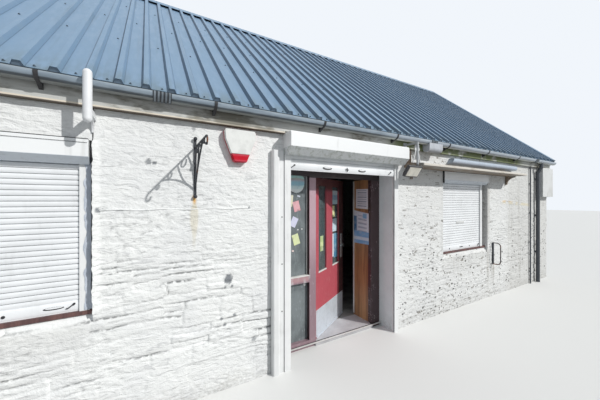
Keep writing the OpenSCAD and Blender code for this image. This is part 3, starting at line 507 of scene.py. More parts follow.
def alarm_finish():
    """Red lens with a pinker band of painted highlight, and a red back edge, on an alarm whose sides are
    white.
    """
    f = Finish("alarm_base_coat")
    broad = f.cloud(18)
    # Painted highlight: a pinker band across the lens.
    lens = f.mix(f.band("Z", 2.125, 2.152, 0.010), (0.66, 0.10, 0.14), (0.60, 0.004, 0.02))
    red = f.mix(broad, lens, (0.50, 0.01, 0.03))
    side = f.past("Z", 2.172, 2.178) * f.past("Y", FACE_Y - 0.027, FACE_Y - 0.023, 1, 0)
    colour = f.mix(side, red, (0.82, 0.83, 0.80))
    return f.look(colour, f.step(broad, 0.3, 0.7, 0.2, 0.35), f.cloud(150), 0.0004, Specular_IOR_Level=0.2)


def concrete(name, pale, dark):
    f = Finish(name)
    grit = f.cloud(120, detail=5, rough=0.7)
    broad = f.cloud(6, detail=5)
    colour = f.mix(f.step(broad, 0.35, 0.65), pale, dark)
    pitted = f.mix(f.step(f.cells(70), 0.06, 0.18, 0.5, 0), colour, toned(dark, 0.5))
    return f.look(pitted, f.step(grit, 0.3, 0.7, 0.75, 0.95), grit + broad, 0.003)


def floor_finish():
    """Pale where it is seen, and greyer in the light that it throws back."""
    f = Finish("studio_floor")
    f.set(Base_Color=(0.80, 0.80, 0.79), Roughness=0.9)
    grey = f.add("BsdfDiffuse", {}, {"Color": (0.34, 0.34, 0.335)})
    return f.seen_apart(grey, Signal(f, f.shader.outputs[0]), "Material Output")


def dress(material, *nodes):
    """Puts a finish on solids of the frame, and hands it on for the pieces that share it."""
    for node in nodes:
        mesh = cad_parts[node].data
        mesh.materials.clear()
        mesh.materials.append(material)
    return material


WHITEWASH = wall_finish()
PRINT = printed_finish()
BEAD = plain_plastic("bead_paint", (0.74, 0.73, 0.71), 0.5)
SCREW_HEAD = plain_plastic("screw_heads", (0.09, 0.125, 0.16), 0.4)
# Painted light: the rib closures are pale blue-grey, lifting the shade that falls on them.
RIB_FILL_PAINTED_LIGHT = plain_plastic("rib_closures", (0.30, 0.40, 0.52), 0.6)
OLD_TIMBER = varnished_wood("old_dark_timber", (0.13, 0.085, 0.055), (0.05, 0.032, 0.022), 0.7)
# Painted shadow: the packing's blue-grey stands for the shadow of the masonry's edge.
SHADOW_GREY_MORTAR = concrete("mortar_painted_shadow", (0.61, 0.66, 0.74), (0.50, 0.55, 0.63))
BOARD = dress(weathered_board(), "eaves_boards")
POWDER = dress(painted_board("powder_coat", (0.90, 0.92, 0.945), (0.42, 0.43, 0.42), 0.18, 0.34),
               "door_shutter_curtain", "window_shutter_curtains")
CORNER = dress(painted_board("corner_box_paint", (0.70, 0.71, 0.71), (0.26, 0.27, 0.22), 0.9, 0.5),
               "corner_box")
POST = dress(painted_board("post_paint", (0.84, 0.855, 0.88), (0.45, 0.46, 0.45), 0.35), "stub_post")
PLATE = dress(brushed_metal("kick_metal", (0.68, 0.73, 0.79), 0.42, (0.03, 0.03, 1), 0.9, 0.5), "kick_plate")
HINGE = dress(brushed_metal("hinge_metal", (0.34, 0.33, 0.31), 0.45), "door_hinges", "hinge_leaves")
BRACKET_IRON = dress(old_iron("bracket_iron", (0.040, 0.044, 0.052), 0.15), "sign_bracket")
DARK = dress(plain_plastic("dark_fitting", (0.030, 0.030, 0.034), 0.5), "gutter_brackets")
dress(roof_finish(), "roof_sheets_front", "roof_sheets_back", "ridge_cap", "verge_flashings")
dress(ledge_finish(), "eaves_ledge")
dress(painted_board("lilac_grey_casing", (0.47, 0.54, 0.64), (0.29, 0.31, 0.34), 0.4), "eaves_casing")
dress(gutter_finish(), "gutters")
dress(union_finish(), "gutter_unions")
dress(plain_plastic("grey_outlet", (0.52, 0.55, 0.60), 0.45), "gutter_outlet")
dress(plain_plastic("dark_pipe", (0.075, 0.085, 0.10), 0.45), "downpipes", "conduit")
dress(boxed_finish(), "door_shutter_box", "window_shutter_boxes")
dress(painted_board("rail_coat", (0.87, 0.88, 0.885), (0.38, 0.39, 0.38), 0.40),
      "door_shutter_rails", "window_shutter_rails")
dress(painted_board("side_casing_paint", (0.84, 0.85, 0.855), (0.40, 0.41, 0.40), 0.5, 0.45), "side_casing")
dress(frame_finish(), "door_frame")
dress(leaf_finish(), "door_leaf")
dress(varnished_wood("lining_varnish", (0.46, 0.245, 0.115), (0.27, 0.135, 0.065), 0.36), "ingo_lining")
dress(varnished_wood("roof_timber", (0.42, 0.29, 0.16), (0.26, 0.16, 0.08), 0.6),
      "rafters", "ridge_board", "purlins")
dress(varnished_wood("window_timber", (0.15, 0.075, 0.068), (0.085, 0.042, 0.042), 0.5), "window_frames")
dress(clear_glass("dusty_pane", (0.09, 0.12, 0.125), 0.55), "door_glass")
dress(clear_glass("shop_pane", (0.155, 0.18, 0.19), 0.72), "sidelight_glass", "window_glass")
dress(clear_glass("lamp_pane", (0.78, 0.75, 0.66), 0.85, 0.12), "floodlight_glass")
dress(brushed_metal("handle_metal", (0.62, 0.62, 0.61), 0.28), "door_handle")
dress(old_iron("hoop_iron", (0.055, 0.045, 0.045), 0.55), "wall_hoop")
dress(plain_plastic("alarm_cover", (0.84, 0.85, 0.83), 0.28), "alarm_cover")
dress(alarm_finish(), "alarm_base")
dress(lamp_finish(), "floodlight")
dress(concrete("step_concrete", (0.56, 0.55, 0.57), (0.47, 0.46, 0.48)), "door_step")
dress(concrete("slab_concrete", (0.40, 0.39, 0.37), (0.27, 0.26, 0.25)), "floor_slab")


# Shapes

def piece(bm, name, material, body="shop", replaces=(), sharp=35, seal=True):
    """Makes an object of a bmesh, closes its normals and hangs it on its body."""
    if seal:
        bmesh.ops.remove_doubles(bm, verts=bm.verts, dist=1e-6)
        bmesh.ops.recalc_face_normals(bm, faces=bm.faces)
    mesh = bpy.data.meshes.new(name)
    bm.to_mesh(mesh)
    bm.free()
    mesh.shade_smooth()
    mesh.set_sharp_from_angle(angle=math.radians(sharp))
    mesh.materials.append(material)
    made = bpy.data.objects.new(name, mesh)
    bpy.context.collection.objects.link(made)
    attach(made, body)
    if replaces:
        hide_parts(*replaces)


def block(bm, low, high, round_off=0.0):
    """A block between two corners, its edges eased where asked."""
    low, high = Vector(low), Vector(high)
    shape = Matrix.Translation((low + high) / 2) @ Matrix.Diagonal((*(high - low), 1))
    made = bmesh.ops.create_cube(bm, size=1, matrix=shape)
    if round_off:
        edges = list({e for v in made["verts"] for e in v.link_edges})
        bmesh.ops.bevel(bm, geom=edges, offset=round_off, segments=2, profile=0.5, affect="EDGES",
                        material=-1)


def rod(bm, start, end, radius, sides=16, tip=None):
    """A round bar, or a cone to another radius, between two points."""
    start, end = Vector(start), Vector(end)
    run = end - start
    shape = Matrix.Translation((start + end) / 2) @ run.to_track_quat("Z", "Y").to_matrix().to_4x4()
    bmesh.ops.create_cone(bm, cap_ends=True, segments=sides, radius1=radius,
                          radius2=radius if tip is None else tip, depth=run.length, matrix=shape)


def draw_out(bm, faces, run):
    """Draws flat faces out into a solid."""
    grown = bmesh.ops.extrude_face_region(bm, geom=faces)["geom"]
    bmesh.ops.translate(bm, verts=[g for g in grown if isinstance(g, bmesh.types.BMVert)], vec=run)


def repeated(bm, first, step, times):
    """Copies what was made since the vertex count first, times over, along a step."""
    bm.verts.ensure_lookup_table()
    source = bm.verts[first:]
    faces = list({f for v in source for f in v.link_faces})
    edges = list({e for v in source for e in v.link_edges})
    bmesh.ops.spin(bm, geom=list(source) + edges + faces, cent=(0, 0, 0), axis=(0, 0, 1), dvec=step, angle=0,
                   steps=times, use_duplicate=True)


def ease(value, low, high):
    t = min(1.0, max(0.0, (value - low) / (high - low)))
    return t * t * (3 - 2 * t)


# Whitewashed rubble

BAND, SPAN = 0.17, 0.62
DRIFT_SEED = 1795671837

# Without a seed of its own noise_vector starts from the clock, and each run draws other joints
noise.seed_set(DRIFT_SEED)


def pick(*place):
    """A steady share from 0 to 1 for a whole-numbered place."""
    return 0.5 + 0.5 * noise.cell([p + 0.5 for p in place])


def stones(x, z, drift, seed):
    """Distances to a flat stone's bed and side joints, and the stone's own height, at a point."""
    across = x + 0.05 * drift.x + 0.018 * noise.noise((x * 6, z * 9, seed + 4))
    jog = pick(math.floor(across / 0.66 + 0.3 * seed), math.floor(z / 0.8), seed) - 0.5
    level = z + 0.07 * jog + 0.050 * drift.z + 0.016 * noise.noise((x * 4, z * 7, seed + 1))
    level += 0.007 * noise.noise((x * 13, z * 11, seed + 7))
    row = math.floor(level / BAND)
    run = across / SPAN + 7.3 * pick(row, 0, seed)
    column = math.floor(run)
    layers = 1 + int(3.3 * pick(row, column, seed))
    height = (level / BAND - row) ** (0.7 + 0.6 * pick(row, column, seed + 1)) * layers
    layer = math.floor(height)
    bed = min(height - layer, 1 - height + layer) * BAND / layers
    count = 1 + int(1.9 * pick(5 * row + layer, column, seed + 2))
    part = (run - column) * count
    stone = math.floor(part)
    side = min(part - stone, 1 - part + stone) * SPAN / count
    return bed, side, pick(3 * column + stone, 5 * row + layer, seed + 3)


def face_seed(axis, sign):
    """Number that makes the rubble of each side its own."""
    return 2 + sign + 5 * axis


def rough_face(x, z, seed, harled, plain):
    """How far the face lies behind the wall line, and how dark its joints and the painted shade along its
    ripples are, at a point.
    """
    drift = noise.noise_vector((x * 1.1, z * 1.6, seed))
    bed, side, stone = stones(x, z, drift, seed)
    shown = (1 - plain) * (1 - 0.75 * harled)
    open_bed = ease(noise.noise((x * 2.7, z * 5.5, seed + 6)), -0.12, 0.34) * shown
    open_side = ease(noise.noise((x * 3.1, z * 3.7, seed + 8)), 0.18, 0.40) * shown
    groove = max(math.exp(-(bed / 0.0062) ** 2) * open_bed, 0.8 * math.exp(-(side / 0.0060) ** 2) * open_side)
    rounding = (1 - ease(min(bed, side), 0, 0.022)) * 0.0036 * shown
    reach = noise.noise((x * 2.0 + 7, z * 3.0, seed))
    patch = ease(reach, -0.35 * harled, 0.40 - 0.25 * harled) * (1 - plain)
    ripple = noise.fractal((x * 15 + z * 9 + 3 * drift.x, z * 40 - x * 5, seed + 9), 0.7, 2.0, 3)
    depth = 0.0045 + stone * 0.0150 * shown + rounding + groove * 0.009
    depth += noise.fractal((x * 1.8, z * 2.6, seed), 1.0, 2.0, 3) * 0.004
    depth += noise.noise((x * 4, z * 19, seed + 5)) * 0.0026 * (1 - 0.8 * plain)
    depth += ripple * (0.0008 + 0.0044 * patch)
    # Painted shade: dark dashes where the harling's ripples stand out.
    ripple_shade_dashes = min(0.42, max(0.0, ripple - 0.30) * 1.5 * patch)
    return min(0.030, max(0.0, depth)), min(1.0, groove * 1.15 + ripple_shade_dashes)


def front_character(x, z):
    """Share of harling and of smooth plaster along the shop front."""
    if x < DOOR_X0:
        smooth = ease(x, -1.28, -1.12) * ease(-z, -1.95, -1.7) * ease(z, 0.55, 0.9) * 0.7
        calm = ease(z, 1.62, 1.85) * 0.45
        low = 0.55 * ease(-z, -0.50, -0.30)
        return ease(z + 0.15 * noise.noise((x * 1.3, z, 4)), 1.14, 1.42), max(smooth, calm, low)
    return 0.45, max(ease(-x, -1.26, -1.12), 0.30 + 0.4 * ease(z, 1.3, 1.8))


# Places where the whitewash is off: along the wall, height, size and how bare each is
PATCHES = ((-1.297, 1.015, 0.040, 0.95), (-1.33, 0.945, 0.012, 0.9), (-1.265, 0.947, 0.012, 0.9),
           (-1.94, 2.06, 0.024, 0.8), (-1.90, 2.05, 0.014, 0.9), (-2.273, 1.672, 0.018, 0.9),
           (-1.36, 0.66, 0.014, 0.8), (-1.24, 0.67, 0.016, 0.8), (-1.33, 0.60, 0.014, 0.8),
           (-1.05, 0.40, 0.022, 0.7), (-1.10, 1.675, 0.012, 0.9), (-1.603, 2.366, 0.017, 0.6))


def front_grime(x, z):
    """Runs of dirt under the shutters and the hoop, and the places where paint has come off."""
    grime = 0.48 * ease(x, 3.90, 4.35)
    beside = ease(0.07 - abs(x - RIGHT_X0 - WINDOW_W - 0.03), 0.0, 0.05)
    jamb = beside * ease(z, 0.9, 1.2) * ease(-z, -2.15, -1.9)
    grime = max(grime, 0.75 * jamb)
    for x0 in (LEFT_X0, RIGHT_X0):
        within = ease(x, x0 - 0.05, x0 + 0.1) * ease(-x, -x0 - WINDOW_W - 0.05, -x0 - WINDOW_W + 0.1)
        grime = max(grime, 0.3 * within * ease(z, 0.35, 0.84) * ease(-z, -0.87, -0.83))
    corner = ease(-abs(x - 3.36), -0.07, -0.01) * ease(z, 0.0, 0.5) * ease(-z, -0.90, -0.84)
    hoop = max(corner, ease(-abs(x - 3.52), -0.10, -0.02) * ease(z, 0.1, 0.55) * ease(-z, -0.62, -0.5))
    spot = 0.0
    for cx, cz, size, share in PATCHES:
        away = math.hypot(x - cx, (z - cz) * 0.9) / size
        if away < 1.6:
            spot = max(spot, share * ease(-away + 0.4 * noise.noise((x * 60, z * 60, 1)), -1.15, -0.75))
    return max(grime, hoop * 0.8), spot


def front_rust(x, z):
    """A run of rust below the sign bracket's foot, and a level stain at the far right."""
    if x > 0:
        level = 1.70 - 0.060 * (x - 4.15) + 0.02 * noise.noise((x * 4, 3, 0))
        broken = ease(noise.noise((x * 7, z * 14, 5)), -0.35, 0.15)
        return ease(0.036 - abs(z - level), 0.0, 0.018) * ease(x, 3.80, 4.0) * ease(-x, -5.2, -5.0) * broken
    line = -1.597 + 0.012 * noise.noise((z * 5, 0, 0))
    wide = 0.009 + 0.020 * ease(-z, -1.72, -1.64) * ease(z, 1.40, 1.58)
    share = ease(z, 1.26, 1.50) * 0.65 + ease(z, 1.64, 1.70) * 0.3
    return ease(wide - abs(x - line), -0.012, 0.004) * share * ease(-z, -1.80, -1.78)


def ticks(low, high, step, *through):
    """Even lines from low to high that pass through the given places."""
    marks = sorted({low, high, *through})
    made = [low]
    for a, b in zip(marks, marks[1:]):
        count = max(1, round((b - a) / step))
        made += [a + (b - a) * (i + 1) / count for i in range(count)]
    return made


WALL_PLACES = {
    "front": Matrix.Translation((0, -HALF_D, 0)),
    "back": Matrix.Translation((0, HALF_D, 0)) @ Matrix.Rotation(math.pi, 4, "Z"),
    "left": Matrix.Translation((-HALF_L, 0, 0)) @ Matrix.Rotation(-math.pi / 2, 4, "Z"),
    "right": Matrix.Translation((HALF_L, 0, 0)) @ Matrix.Rotation(math.pi / 2, 4, "Z"),
}


def wall(name, side, columns, rows, node, holes=(), gable=False):
    """A rubble wall: a fine sheet with its openings, drawn back to the wall's thickness and closed."""
    bm = bmesh.new()
    across, upward = len(columns) - 1, len(rows) - 1
    bmesh.ops.create_grid(bm, x_segments=across, y_segments=upward, size=1)
    for v in bm.verts:
        v.co = (columns[round((v.co.x + 1) / 2 * across)], 0, rows[round((v.co.y + 1) / 2 * upward)])
    if holes:
        def cut(f):
            c = f.calc_center_median()
            return any(x0 < c.x < x1 and z0 < c.z < z1 for x0, x1, z0, z1 in holes)
        bmesh.ops.delete(bm, geom=[f for f in bm.faces if cut(f)], context="FACES")
    if gable:
        # The slopes run just under the roof's sheets
        foot, head = WALL_H + 0.0426, RIDGE_Z - 0.0004
        rise = (head - foot) / HALF_D
        for end in (-1, 1):
            bmesh.ops.bisect_plane(bm, geom=bm.verts[:] + bm.edges[:] + bm.faces[:], dist=1e-5,
                                   plane_co=(0, 0, head), plane_no=(end * rise, 0, 1), clear_outer=True)
    for x0, x1, z0, z1 in holes:
        if z0 == WINDOW_Z:
            for v in bm.verts:
                if x0 - 1e-4 < v.co.x < x1 + 1e-4 and SILL_FOOT < v.co.z < z0 + 1e-4:
                    v.co.y = SILL_IN * (v.co.z - SILL_FOOT) / (z0 - SILL_FOOT)
    rim = [e for e in bm.edges if e.is_boundary]
    layers = 20 if gable else 1
    for k in range(layers):
        grown = bmesh.ops.extrude_edge_only(bm, edges=rim)["geom"]
        rim = [g for g in grown if isinstance(g, bmesh.types.BMEdge)]
        for g in grown:
            if isinstance(g, bmesh.types.BMVert):
                g.co.y = WALL_T * (k + 1) / layers
    bmesh.ops.triangle_fill(bm, edges=rim, use_beauty=False)
    bmesh.ops.transform(bm, matrix=WALL_PLACES[side], verts=bm.verts)
    bmesh.ops.remove_doubles(bm, verts=bm.verts, dist=1e-6)
    bmesh.ops.recalc_face_normals(bm, faces=bm.faces)
    weather(bm)
    piece(bm, name, WHITEWASH, replaces=(node,), sharp=50, seal=False)


def weather(bm):
    """Pushes the outer faces in by the rubble's relief; notes joints with the painted shade along ripples,
    grime, rust and bare stone.
    """
    joint_and_shade_layer, grime_layer, rust_layer, bare_layer = (
        bm.verts.layers.float.new(name) for name in ("joint", "grime", "rust", "bare"))
    for v in bm.verts:
        place = v.co.copy()
        z = place.z
        for axis, sign in ((1, -1), (1, 1), (0, -1), (0, 1)):
            proud = (HALF_D if axis else HALF_L) - sign * place[axis]
            front = axis == 1 and sign == -1
            sill = front and SILL_FOOT - 1e-4 < z < WINDOW_Z + 1e-4 and proud < SILL_IN + 1e-4
            if proud > 1e-4 and not sill:
                continue
            along = place[1 - axis]
            harled, plain, hold = 0.5, 0.0, 1.0
            if front:
                harled, plain = front_character(along, z)
                hold = ease(max(DOOR_X0 - along, along - DOOR_X1, 0, z - DOOR_TOP), 0.0, 0.12)
                for x0 in (LEFT_X0, RIGHT_X0):
                    gap = max(x0 - along, along - x0 - WINDOW_W, WINDOW_Z - z, z - WINDOW_TOP)
                    hold = min(hold, ease(gap, 0.0, 0.05))
                v[grime_layer], v[bare_layer] = front_grime(along, z)
                v[rust_layer] = front_rust(along, z)
            push, shade = rough_face(along, z, face_seed(axis, sign), harled, plain)
            v.co[axis] -= sign * push * hold
            beside = abs(along - LEFT_X0 - WINDOW_W)
            if front and beside < 0.06 and WINDOW_Z < z < WINDOW_TOP:
                near = 1 - ease(beside, 0.0, 0.05)
                v.co.x += near * (0.007 * noise.noise((z * 9, 3, 1)) + 0.006 * noise.noise((z * 31, 8, 2)))
                v.co.y -= near * 0.018
            v[joint_and_shade_layer] = shade * hold


door_hole = (DOOR_X0, DOOR_X1, -1, DOOR_TOP)
left_hole = (LEFT_X0, LEFT_X0 + WINDOW_W, WINDOW_Z, WINDOW_TOP)
right_hole = (RIGHT_X0, RIGHT_X0 + WINDOW_W, WINDOW_Z, WINDOW_TOP)
inner = HALF_L - WALL_T
edge = 0.002
front_rows = ticks(0, 0.30, 0.014) + ticks(0.30, 1.35, 0.0088, SILL_FOOT, WINDOW_Z)[1:]
front_rows += ticks(1.35, WALL_H, 0.0125, WINDOW_TOP, DOOR_TOP)[1:]
coarse_rows = ticks(0, WALL_H, 0.028, DOOR_TOP)
left_columns = ticks(-inner, -3.7, 0.06) + ticks(-3.7, DOOR_X0, 0.0100, LEFT_X0 - edge, LEFT_X0,
                                                LEFT_X0 + WINDOW_W, LEFT_X0 + WINDOW_W + edge)[1:]
right_columns = ticks(DOOR_X1, 3.6, 0.016, RIGHT_X0 - edge, RIGHT_X0, RIGHT_X0 + WINDOW_W,
                      RIGHT_X0 + WINDOW_W + edge) + ticks(3.6, inner, 0.024)[1:]
wall("masonry_front_left", "front", left_columns, front_rows, "front_wall_left", [left_hole])
wall("masonry_front_right", "front", right_columns, front_rows, "front_wall_right", [right_hole])
wall("masonry_lintel", "front", ticks(DOOR_X0, DOOR_X1, 0.02), ticks(DOOR_TOP, WALL_H, 0.02), "door_lintel")
wall("masonry_back", "back", ticks(-inner, inner, 0.032), coarse_rows, "back_wall")
gable_rows = coarse_rows + ticks(WALL_H, RIDGE_Z, 0.032)[1:]
gable_columns = ticks(-HALF_D, HALF_D, 0.03, 0)
for side in ("left", "right"):
    wall(f"masonry_{side}_gable", side, gable_columns, gable_rows, f"{side}_gable_wall", gable=True)


# Roof

def on_slope(side):
    """From a sheet's own plane, X along the eaves and Y up the slope, to the building."""
    turn = Matrix.Rotation(0 if side < 0 else math.pi, 4, "Z") @ Matrix.Rotation(PITCH, 4, "X")
    return Matrix.Translation((0, side * SHEET_Y, SHEET_Z)) @ turn


def roof_screws():
    """Dome-headed screws with washers, in rows over the purlins and along the sheets' feet."""
    bm = bmesh.new()
    low, high = 0.293, SHEET_Y / math.cos(PITCH) - 0.19
    rows = [0.030] + [low + (high - low) * i / 4 for i in range(1, 5)]
    for side in (-1, 1):
        turned = on_slope(side)
        for j, up in enumerate(rows):
            for k in range(-33, 33):
                if (k + j) % 2 and j:
                    continue
                spot = turned @ Matrix.Translation(((k + 0.5) * RIB + (0.02 if k % 3 else -0.015), up, 0.005))
                for radius, top, height in ((0.0105, 0.0095, 0.003), (0.0072, 0.0045, 0.010)):
                    bmesh.ops.create_cone(bm, cap_ends=True, segments=6, radius1=radius, radius2=top,
                                          depth=height, matrix=spot @ Matrix.Translation((0, 0, height / 2)))
    piece(bm, "roof_screws", SCREW_HEAD, seal=False)


def rib_ends():
    """Closures that fill each rib at the sheets' feet, pale blue-grey as painted light against their shade.
    """
    bm = bmesh.new()
    for side in (-1, 1):
        first = len(bm.verts)
        line = [(-0.0325, 0.0004), (-0.0186, 0.0316), (0.0186, 0.0316), (0.0325, 0.0004)]
        face = bm.faces.new([bm.verts.new((x - 33 * RIB, 0.003, z)) for x, z in line])
        draw_out(bm, [face], (0, 0.012, 0))
        repeated(bm, first, (RIB, 0, 0), 66)
        bm.verts.ensure_lookup_table()
        bmesh.ops.transform(bm, matrix=on_slope(side), verts=bm.verts[first:])
    piece(bm, "rib_ends", RIB_FILL_PAINTED_LIGHT)


roof_screws()
rib_ends()


# Roller shutters

SLAT_H, SWELL = 0.0386, 0.0042
CURTAIN_IN = 0.038
WINDOW_CURTAINS = ((LEFT_X0 + CURTAIN_IN, LEFT_X0 + BOX_W - CURTAIN_IN),
                   (RIGHT_X0 + CURTAIN_IN, RIGHT_X0 + BOX_W - 0.075 - CURTAIN_IN))
CURTAIN_Y = FACE_Y + 0.06
DOOR_CURTAIN_Y = FACE_Y - 0.03


def slats(bm, x0, x1, foot, head, front):
    """Curved slats with a shadow line between them, from foot to head, their fronts on one line."""
    first = len(bm.verts)
    arc = [(front + SWELL - SWELL * math.sin(math.pi * t), t * SLAT_H) for t in (0.10, 0.3, 0.5, 0.7, 0.88)]
    lip = [(front + SWELL + 0.0025, 0), (front + SWELL + 0.0015, 0.05 * SLAT_H)]
    back = [(front + 0.0085, SLAT_H * 0.93), (front + 0.0085, 0)]
    face = bm.faces.new([bm.verts.new((x0, y, foot + z)) for y, z in lip + arc + back])
    draw_out(bm, [face], (x1 - x0, 0, 0))
    repeated(bm, first, (0, 0, SLAT_H), round((head - foot) / SLAT_H) - 1)


def bottom_bar(bm, x0, x1, foot, head, front, thick):
    """Hollow bottom bar with eased edges, a raised middle and a foot seal."""
    block(bm, (x0, front + 0.002, foot + 0.004), (x1, front + thick, head - 0.001), 0.0015)
    block(bm, (x0 + 0.004, front, foot + 0.012), (x1 - 0.004, front + 0.004, head - 0.010), 0.0015)
    block(bm, (x0 + 0.010, front + 0.003, foot), (x1 - 0.010, front + 0.007, foot + 0.005))


def window_shutters():
    bm = bmesh.new()
    for x0, x1 in WINDOW_CURTAINS:
        slats(bm, x0, x1, RAIL_FOOT + 0.0794, BOX_FOOT, CURTAIN_Y)
    piece(bm, "window_slats", POWDER, replaces=("window_shutter_curtains",), sharp=25)
    bm = bmesh.new()
    for x0, x1 in WINDOW_CURTAINS:
        bottom_bar(bm, x0, x1, RAIL_FOOT, RAIL_FOOT + 0.0806, CURTAIN_Y, 0.010)
    piece(bm, "window_bottom_bars", POWDER, sharp=25)


def door_shutter():
    x0, x1, seam = -0.700, 0.910, 2.139
    bm = bmesh.new()
    slats(bm, x0, x1, seam, 2.210, DOOR_CURTAIN_Y)
    piece(bm, "door_slats", POWDER, replaces=("door_shutter_curtain",), sharp=25)
    bm = bmesh.new()
    bottom_bar(bm, x0, x1, 2.062, seam, DOOR_CURTAIN_Y, 0.010)
    piece(bm, "door_bottom_bar", POWDER, sharp=25)


window_shutters()
door_shutter()


# Small fittings

def slotted_pull(bm, x0, x1, z, front, high):
    """Shallow pull: a slot whose ends are rounded."""
    shape = (Matrix.Translation(((x0 + x1) / 2, front, z)) @ Matrix.Rotation(math.pi / 2, 4, "X")
             @ Matrix.Diagonal(((x1 - x0) / 2, high / 2, 1, 1)))
    made = bmesh.ops.create_circle(bm, cap_ends=True, segments=24, radius=1, matrix=shape)
    faces = list({f for v in made["verts"] for f in v.link_faces})
    draw_out(bm, faces, (0, -0.0016, 0))


def key_tail(bm, x, z, front):
    """Bolt lock at the end of a bottom bar: a round body with its bent tail."""
    rod(bm, (x + 0.018, front + 0.001, z + 0.014), (x + 0.018, front - 0.010, z + 0.014), 0.008, 20)
    rod(bm, (x + 0.018, front - 0.008, z + 0.014), (x - 0.016, front - 0.008, z - 0.012), 0.0042, 12)
    rod(bm, (x - 0.016, front - 0.008, z - 0.012), (x - 0.026, front - 0.008, z - 0.012), 0.0042, 12)


def round_lock(bm, x, z, front, radius):
    rod(bm, (x, front + 0.001, z), (x, front - 0.004, z), radius, 24, radius * 0.86)
    rod(bm, (x, front - 0.003, z), (x, front - 0.006, z), radius * 0.4, 16)


def shutter_locks():
    front = DOOR_CURTAIN_Y
    bm = bmesh.new()
    key_tail(bm, -0.640, 2.100, front)
    key_tail(bm, 0.792, 2.095, front)
    slotted_pull(bm, -0.266, -0.138, 2.104, front, 0.036)
    slotted_pull(bm, 0.252, 0.374, 2.101, front, 0.033)
    block(bm, (0.056, front - 0.009, 2.0965), (0.102, front - 0.003, 2.1075), 0.001)
    block(bm, (0.0735, front - 0.009, 2.079), (0.0845, front - 0.003, 2.125), 0.001)
    for x in (-2.787, 2.27, 2.85):
        round_lock(bm, x, RAIL_FOOT + 0.036, CURTAIN_Y, 0.011)
    key_tail(bm, -2.436, RAIL_FOOT + 0.044, CURTAIN_Y)
    key_tail(bm, 3.12, RAIL_FOOT + 0.036, CURTAIN_Y)
    slotted_pull(bm, -2.590, -2.474, RAIL_FOOT + 0.044, CURTAIN_Y, 0.021)
    slotted_pull(bm, 2.55, 2.66, RAIL_FOOT + 0.040, CURTAIN_Y, 0.016)
    piece(bm, "shutter_locks", DARK)
    bm = bmesh.new()
    slotted_pull(bm, -0.246, -0.150, 2.1105, front - 0.001, 0.017)
    slotted_pull(bm, 0.270, 0.362, 2.1075, front - 0.001, 0.016)
    rod(bm, (0.079, front + 0.001, 2.102), (0.079, front - 0.004, 2.102), 0.027, 28, 0.025)
    slotted_pull(bm, -2.578, -2.480, RAIL_FOOT + 0.0475, CURTAIN_Y - 0.001, 0.012)
    piece(bm, "shutter_pull_lips", POWDER)
    bm = bmesh.new()
    block(bm, (2.456, CURTAIN_Y - 0.003, 1.362), (2.690, CURTAIN_Y + 0.004, 1.398), 0.002)
    block(bm, (2.470, CURTAIN_Y - 0.005, 1.372), (2.676, CURTAIN_Y + 0.002, 1.388), 0.001)
    piece(bm, "shutter_slot_plate", CORNER, sharp=25)


def screws(bm, spots, radius):
    """Pan heads with a short collar, towards the street."""
    out = Vector((0, -1, 0))
    for spot in map(Vector, spots):
        rod(bm, spot - out * 0.001, spot + out * 0.002, radius, 14, radius * 0.9)
        rod(bm, spot + out * 0.0015, spot + out * 0.0035, radius * 0.62, 14, radius * 0.4)


def casing_screws():
    bm = bmesh.new()
    screws(bm, [(-0.765, FACE_Y - 0.030, z) for z in (0.62, 1.10, 1.577)], 0.007)
    screws(bm, [(0.925, FACE_Y - 0.040, z) for z in (0.30, 1.46)], 0.005)
    piece(bm, "casing_screws", DARK)


# Doorway

# From the leaf's own plane, X across it and Z up, to where it stands open at rest
LEAF = (Matrix.Translation((HINGE_X, HINGE_Y, 0.050)) @ Matrix.Rotation(LEAF_OPEN, 4, "Z")
        @ Matrix.Translation((0, -0.051, 0)))


def leaf_piece(bm, name, material):
    """Makes a piece of a shape drawn in the leaf's own plane, and lets it ride the door."""
    bmesh.ops.transform(bm, matrix=LEAF, verts=bm.verts)
    piece(bm, name, material, body="door")


def paper(bm, low_left, low_right, high_right, high_left, tint, wave, across, upward):
    """Thin sheet between four corners, slightly waved, tinted by the share of its width and height."""
    corners = [Vector(c) for c in (low_left, low_right, high_right, high_left)]
    out = (corners[1] - corners[0]).cross(corners[3] - corners[0]).normalized()
    layer = bm.verts.layers.float_color.get("tint") or bm.verts.layers.float_color.new("tint")
    made = bmesh.ops.create_grid(bm, x_segments=across, y_segments=upward, size=1)["verts"]
    for v in made:
        u, w = (v.co.x + 1) / 2, (v.co.y + 1) / 2
        low = corners[0].lerp(corners[1], u)
        high = corners[3].lerp(corners[2], u)
        rise = wave * (1 + noise.noise((u * 3, w * 4, corners[0].z * 9)))
        v.co = low.lerp(high, w) + out * (0.0008 + rise)
        v[layer] = (*tint(u, w), 1)
    faces = list({f for v in made for f in v.link_faces})
    bmesh.ops.solidify(bm, geom=faces, thickness=0.0005)


def one_tint(colour):
    return lambda u, w: colour


def banded(*bands):
    """Tint that changes at given heights, from the foot up."""
    def tint(u, w):
        for top, colour in bands:
            if w <= top:
                return colour
        return bands[-1][1]
    return tint


def round_label(bm, x, z, wide, high, y, tint):
    """Oval label: a sheet whose corners are drawn in."""
    first = len(bm.verts)
    half_w, half_h = wide / 2, high / 2
    paper(bm, (x - half_w, y, z - half_h), (x + half_w, y, z - half_h), (x + half_w, y, z + half_h),
          (x - half_w, y, z + half_h), tint, 0.0006, 12, 14)
    bm.verts.ensure_lookup_table()
    for v in bm.verts[first:]:
        u, w = (v.co.x - x) / half_w, (v.co.z - z) / half_h
        v.co.x = x + half_w * u * math.sqrt(1 - 0.45 * w * w)
        v.co.z = z + half_h * w * math.sqrt(1 - 0.45 * u * u)


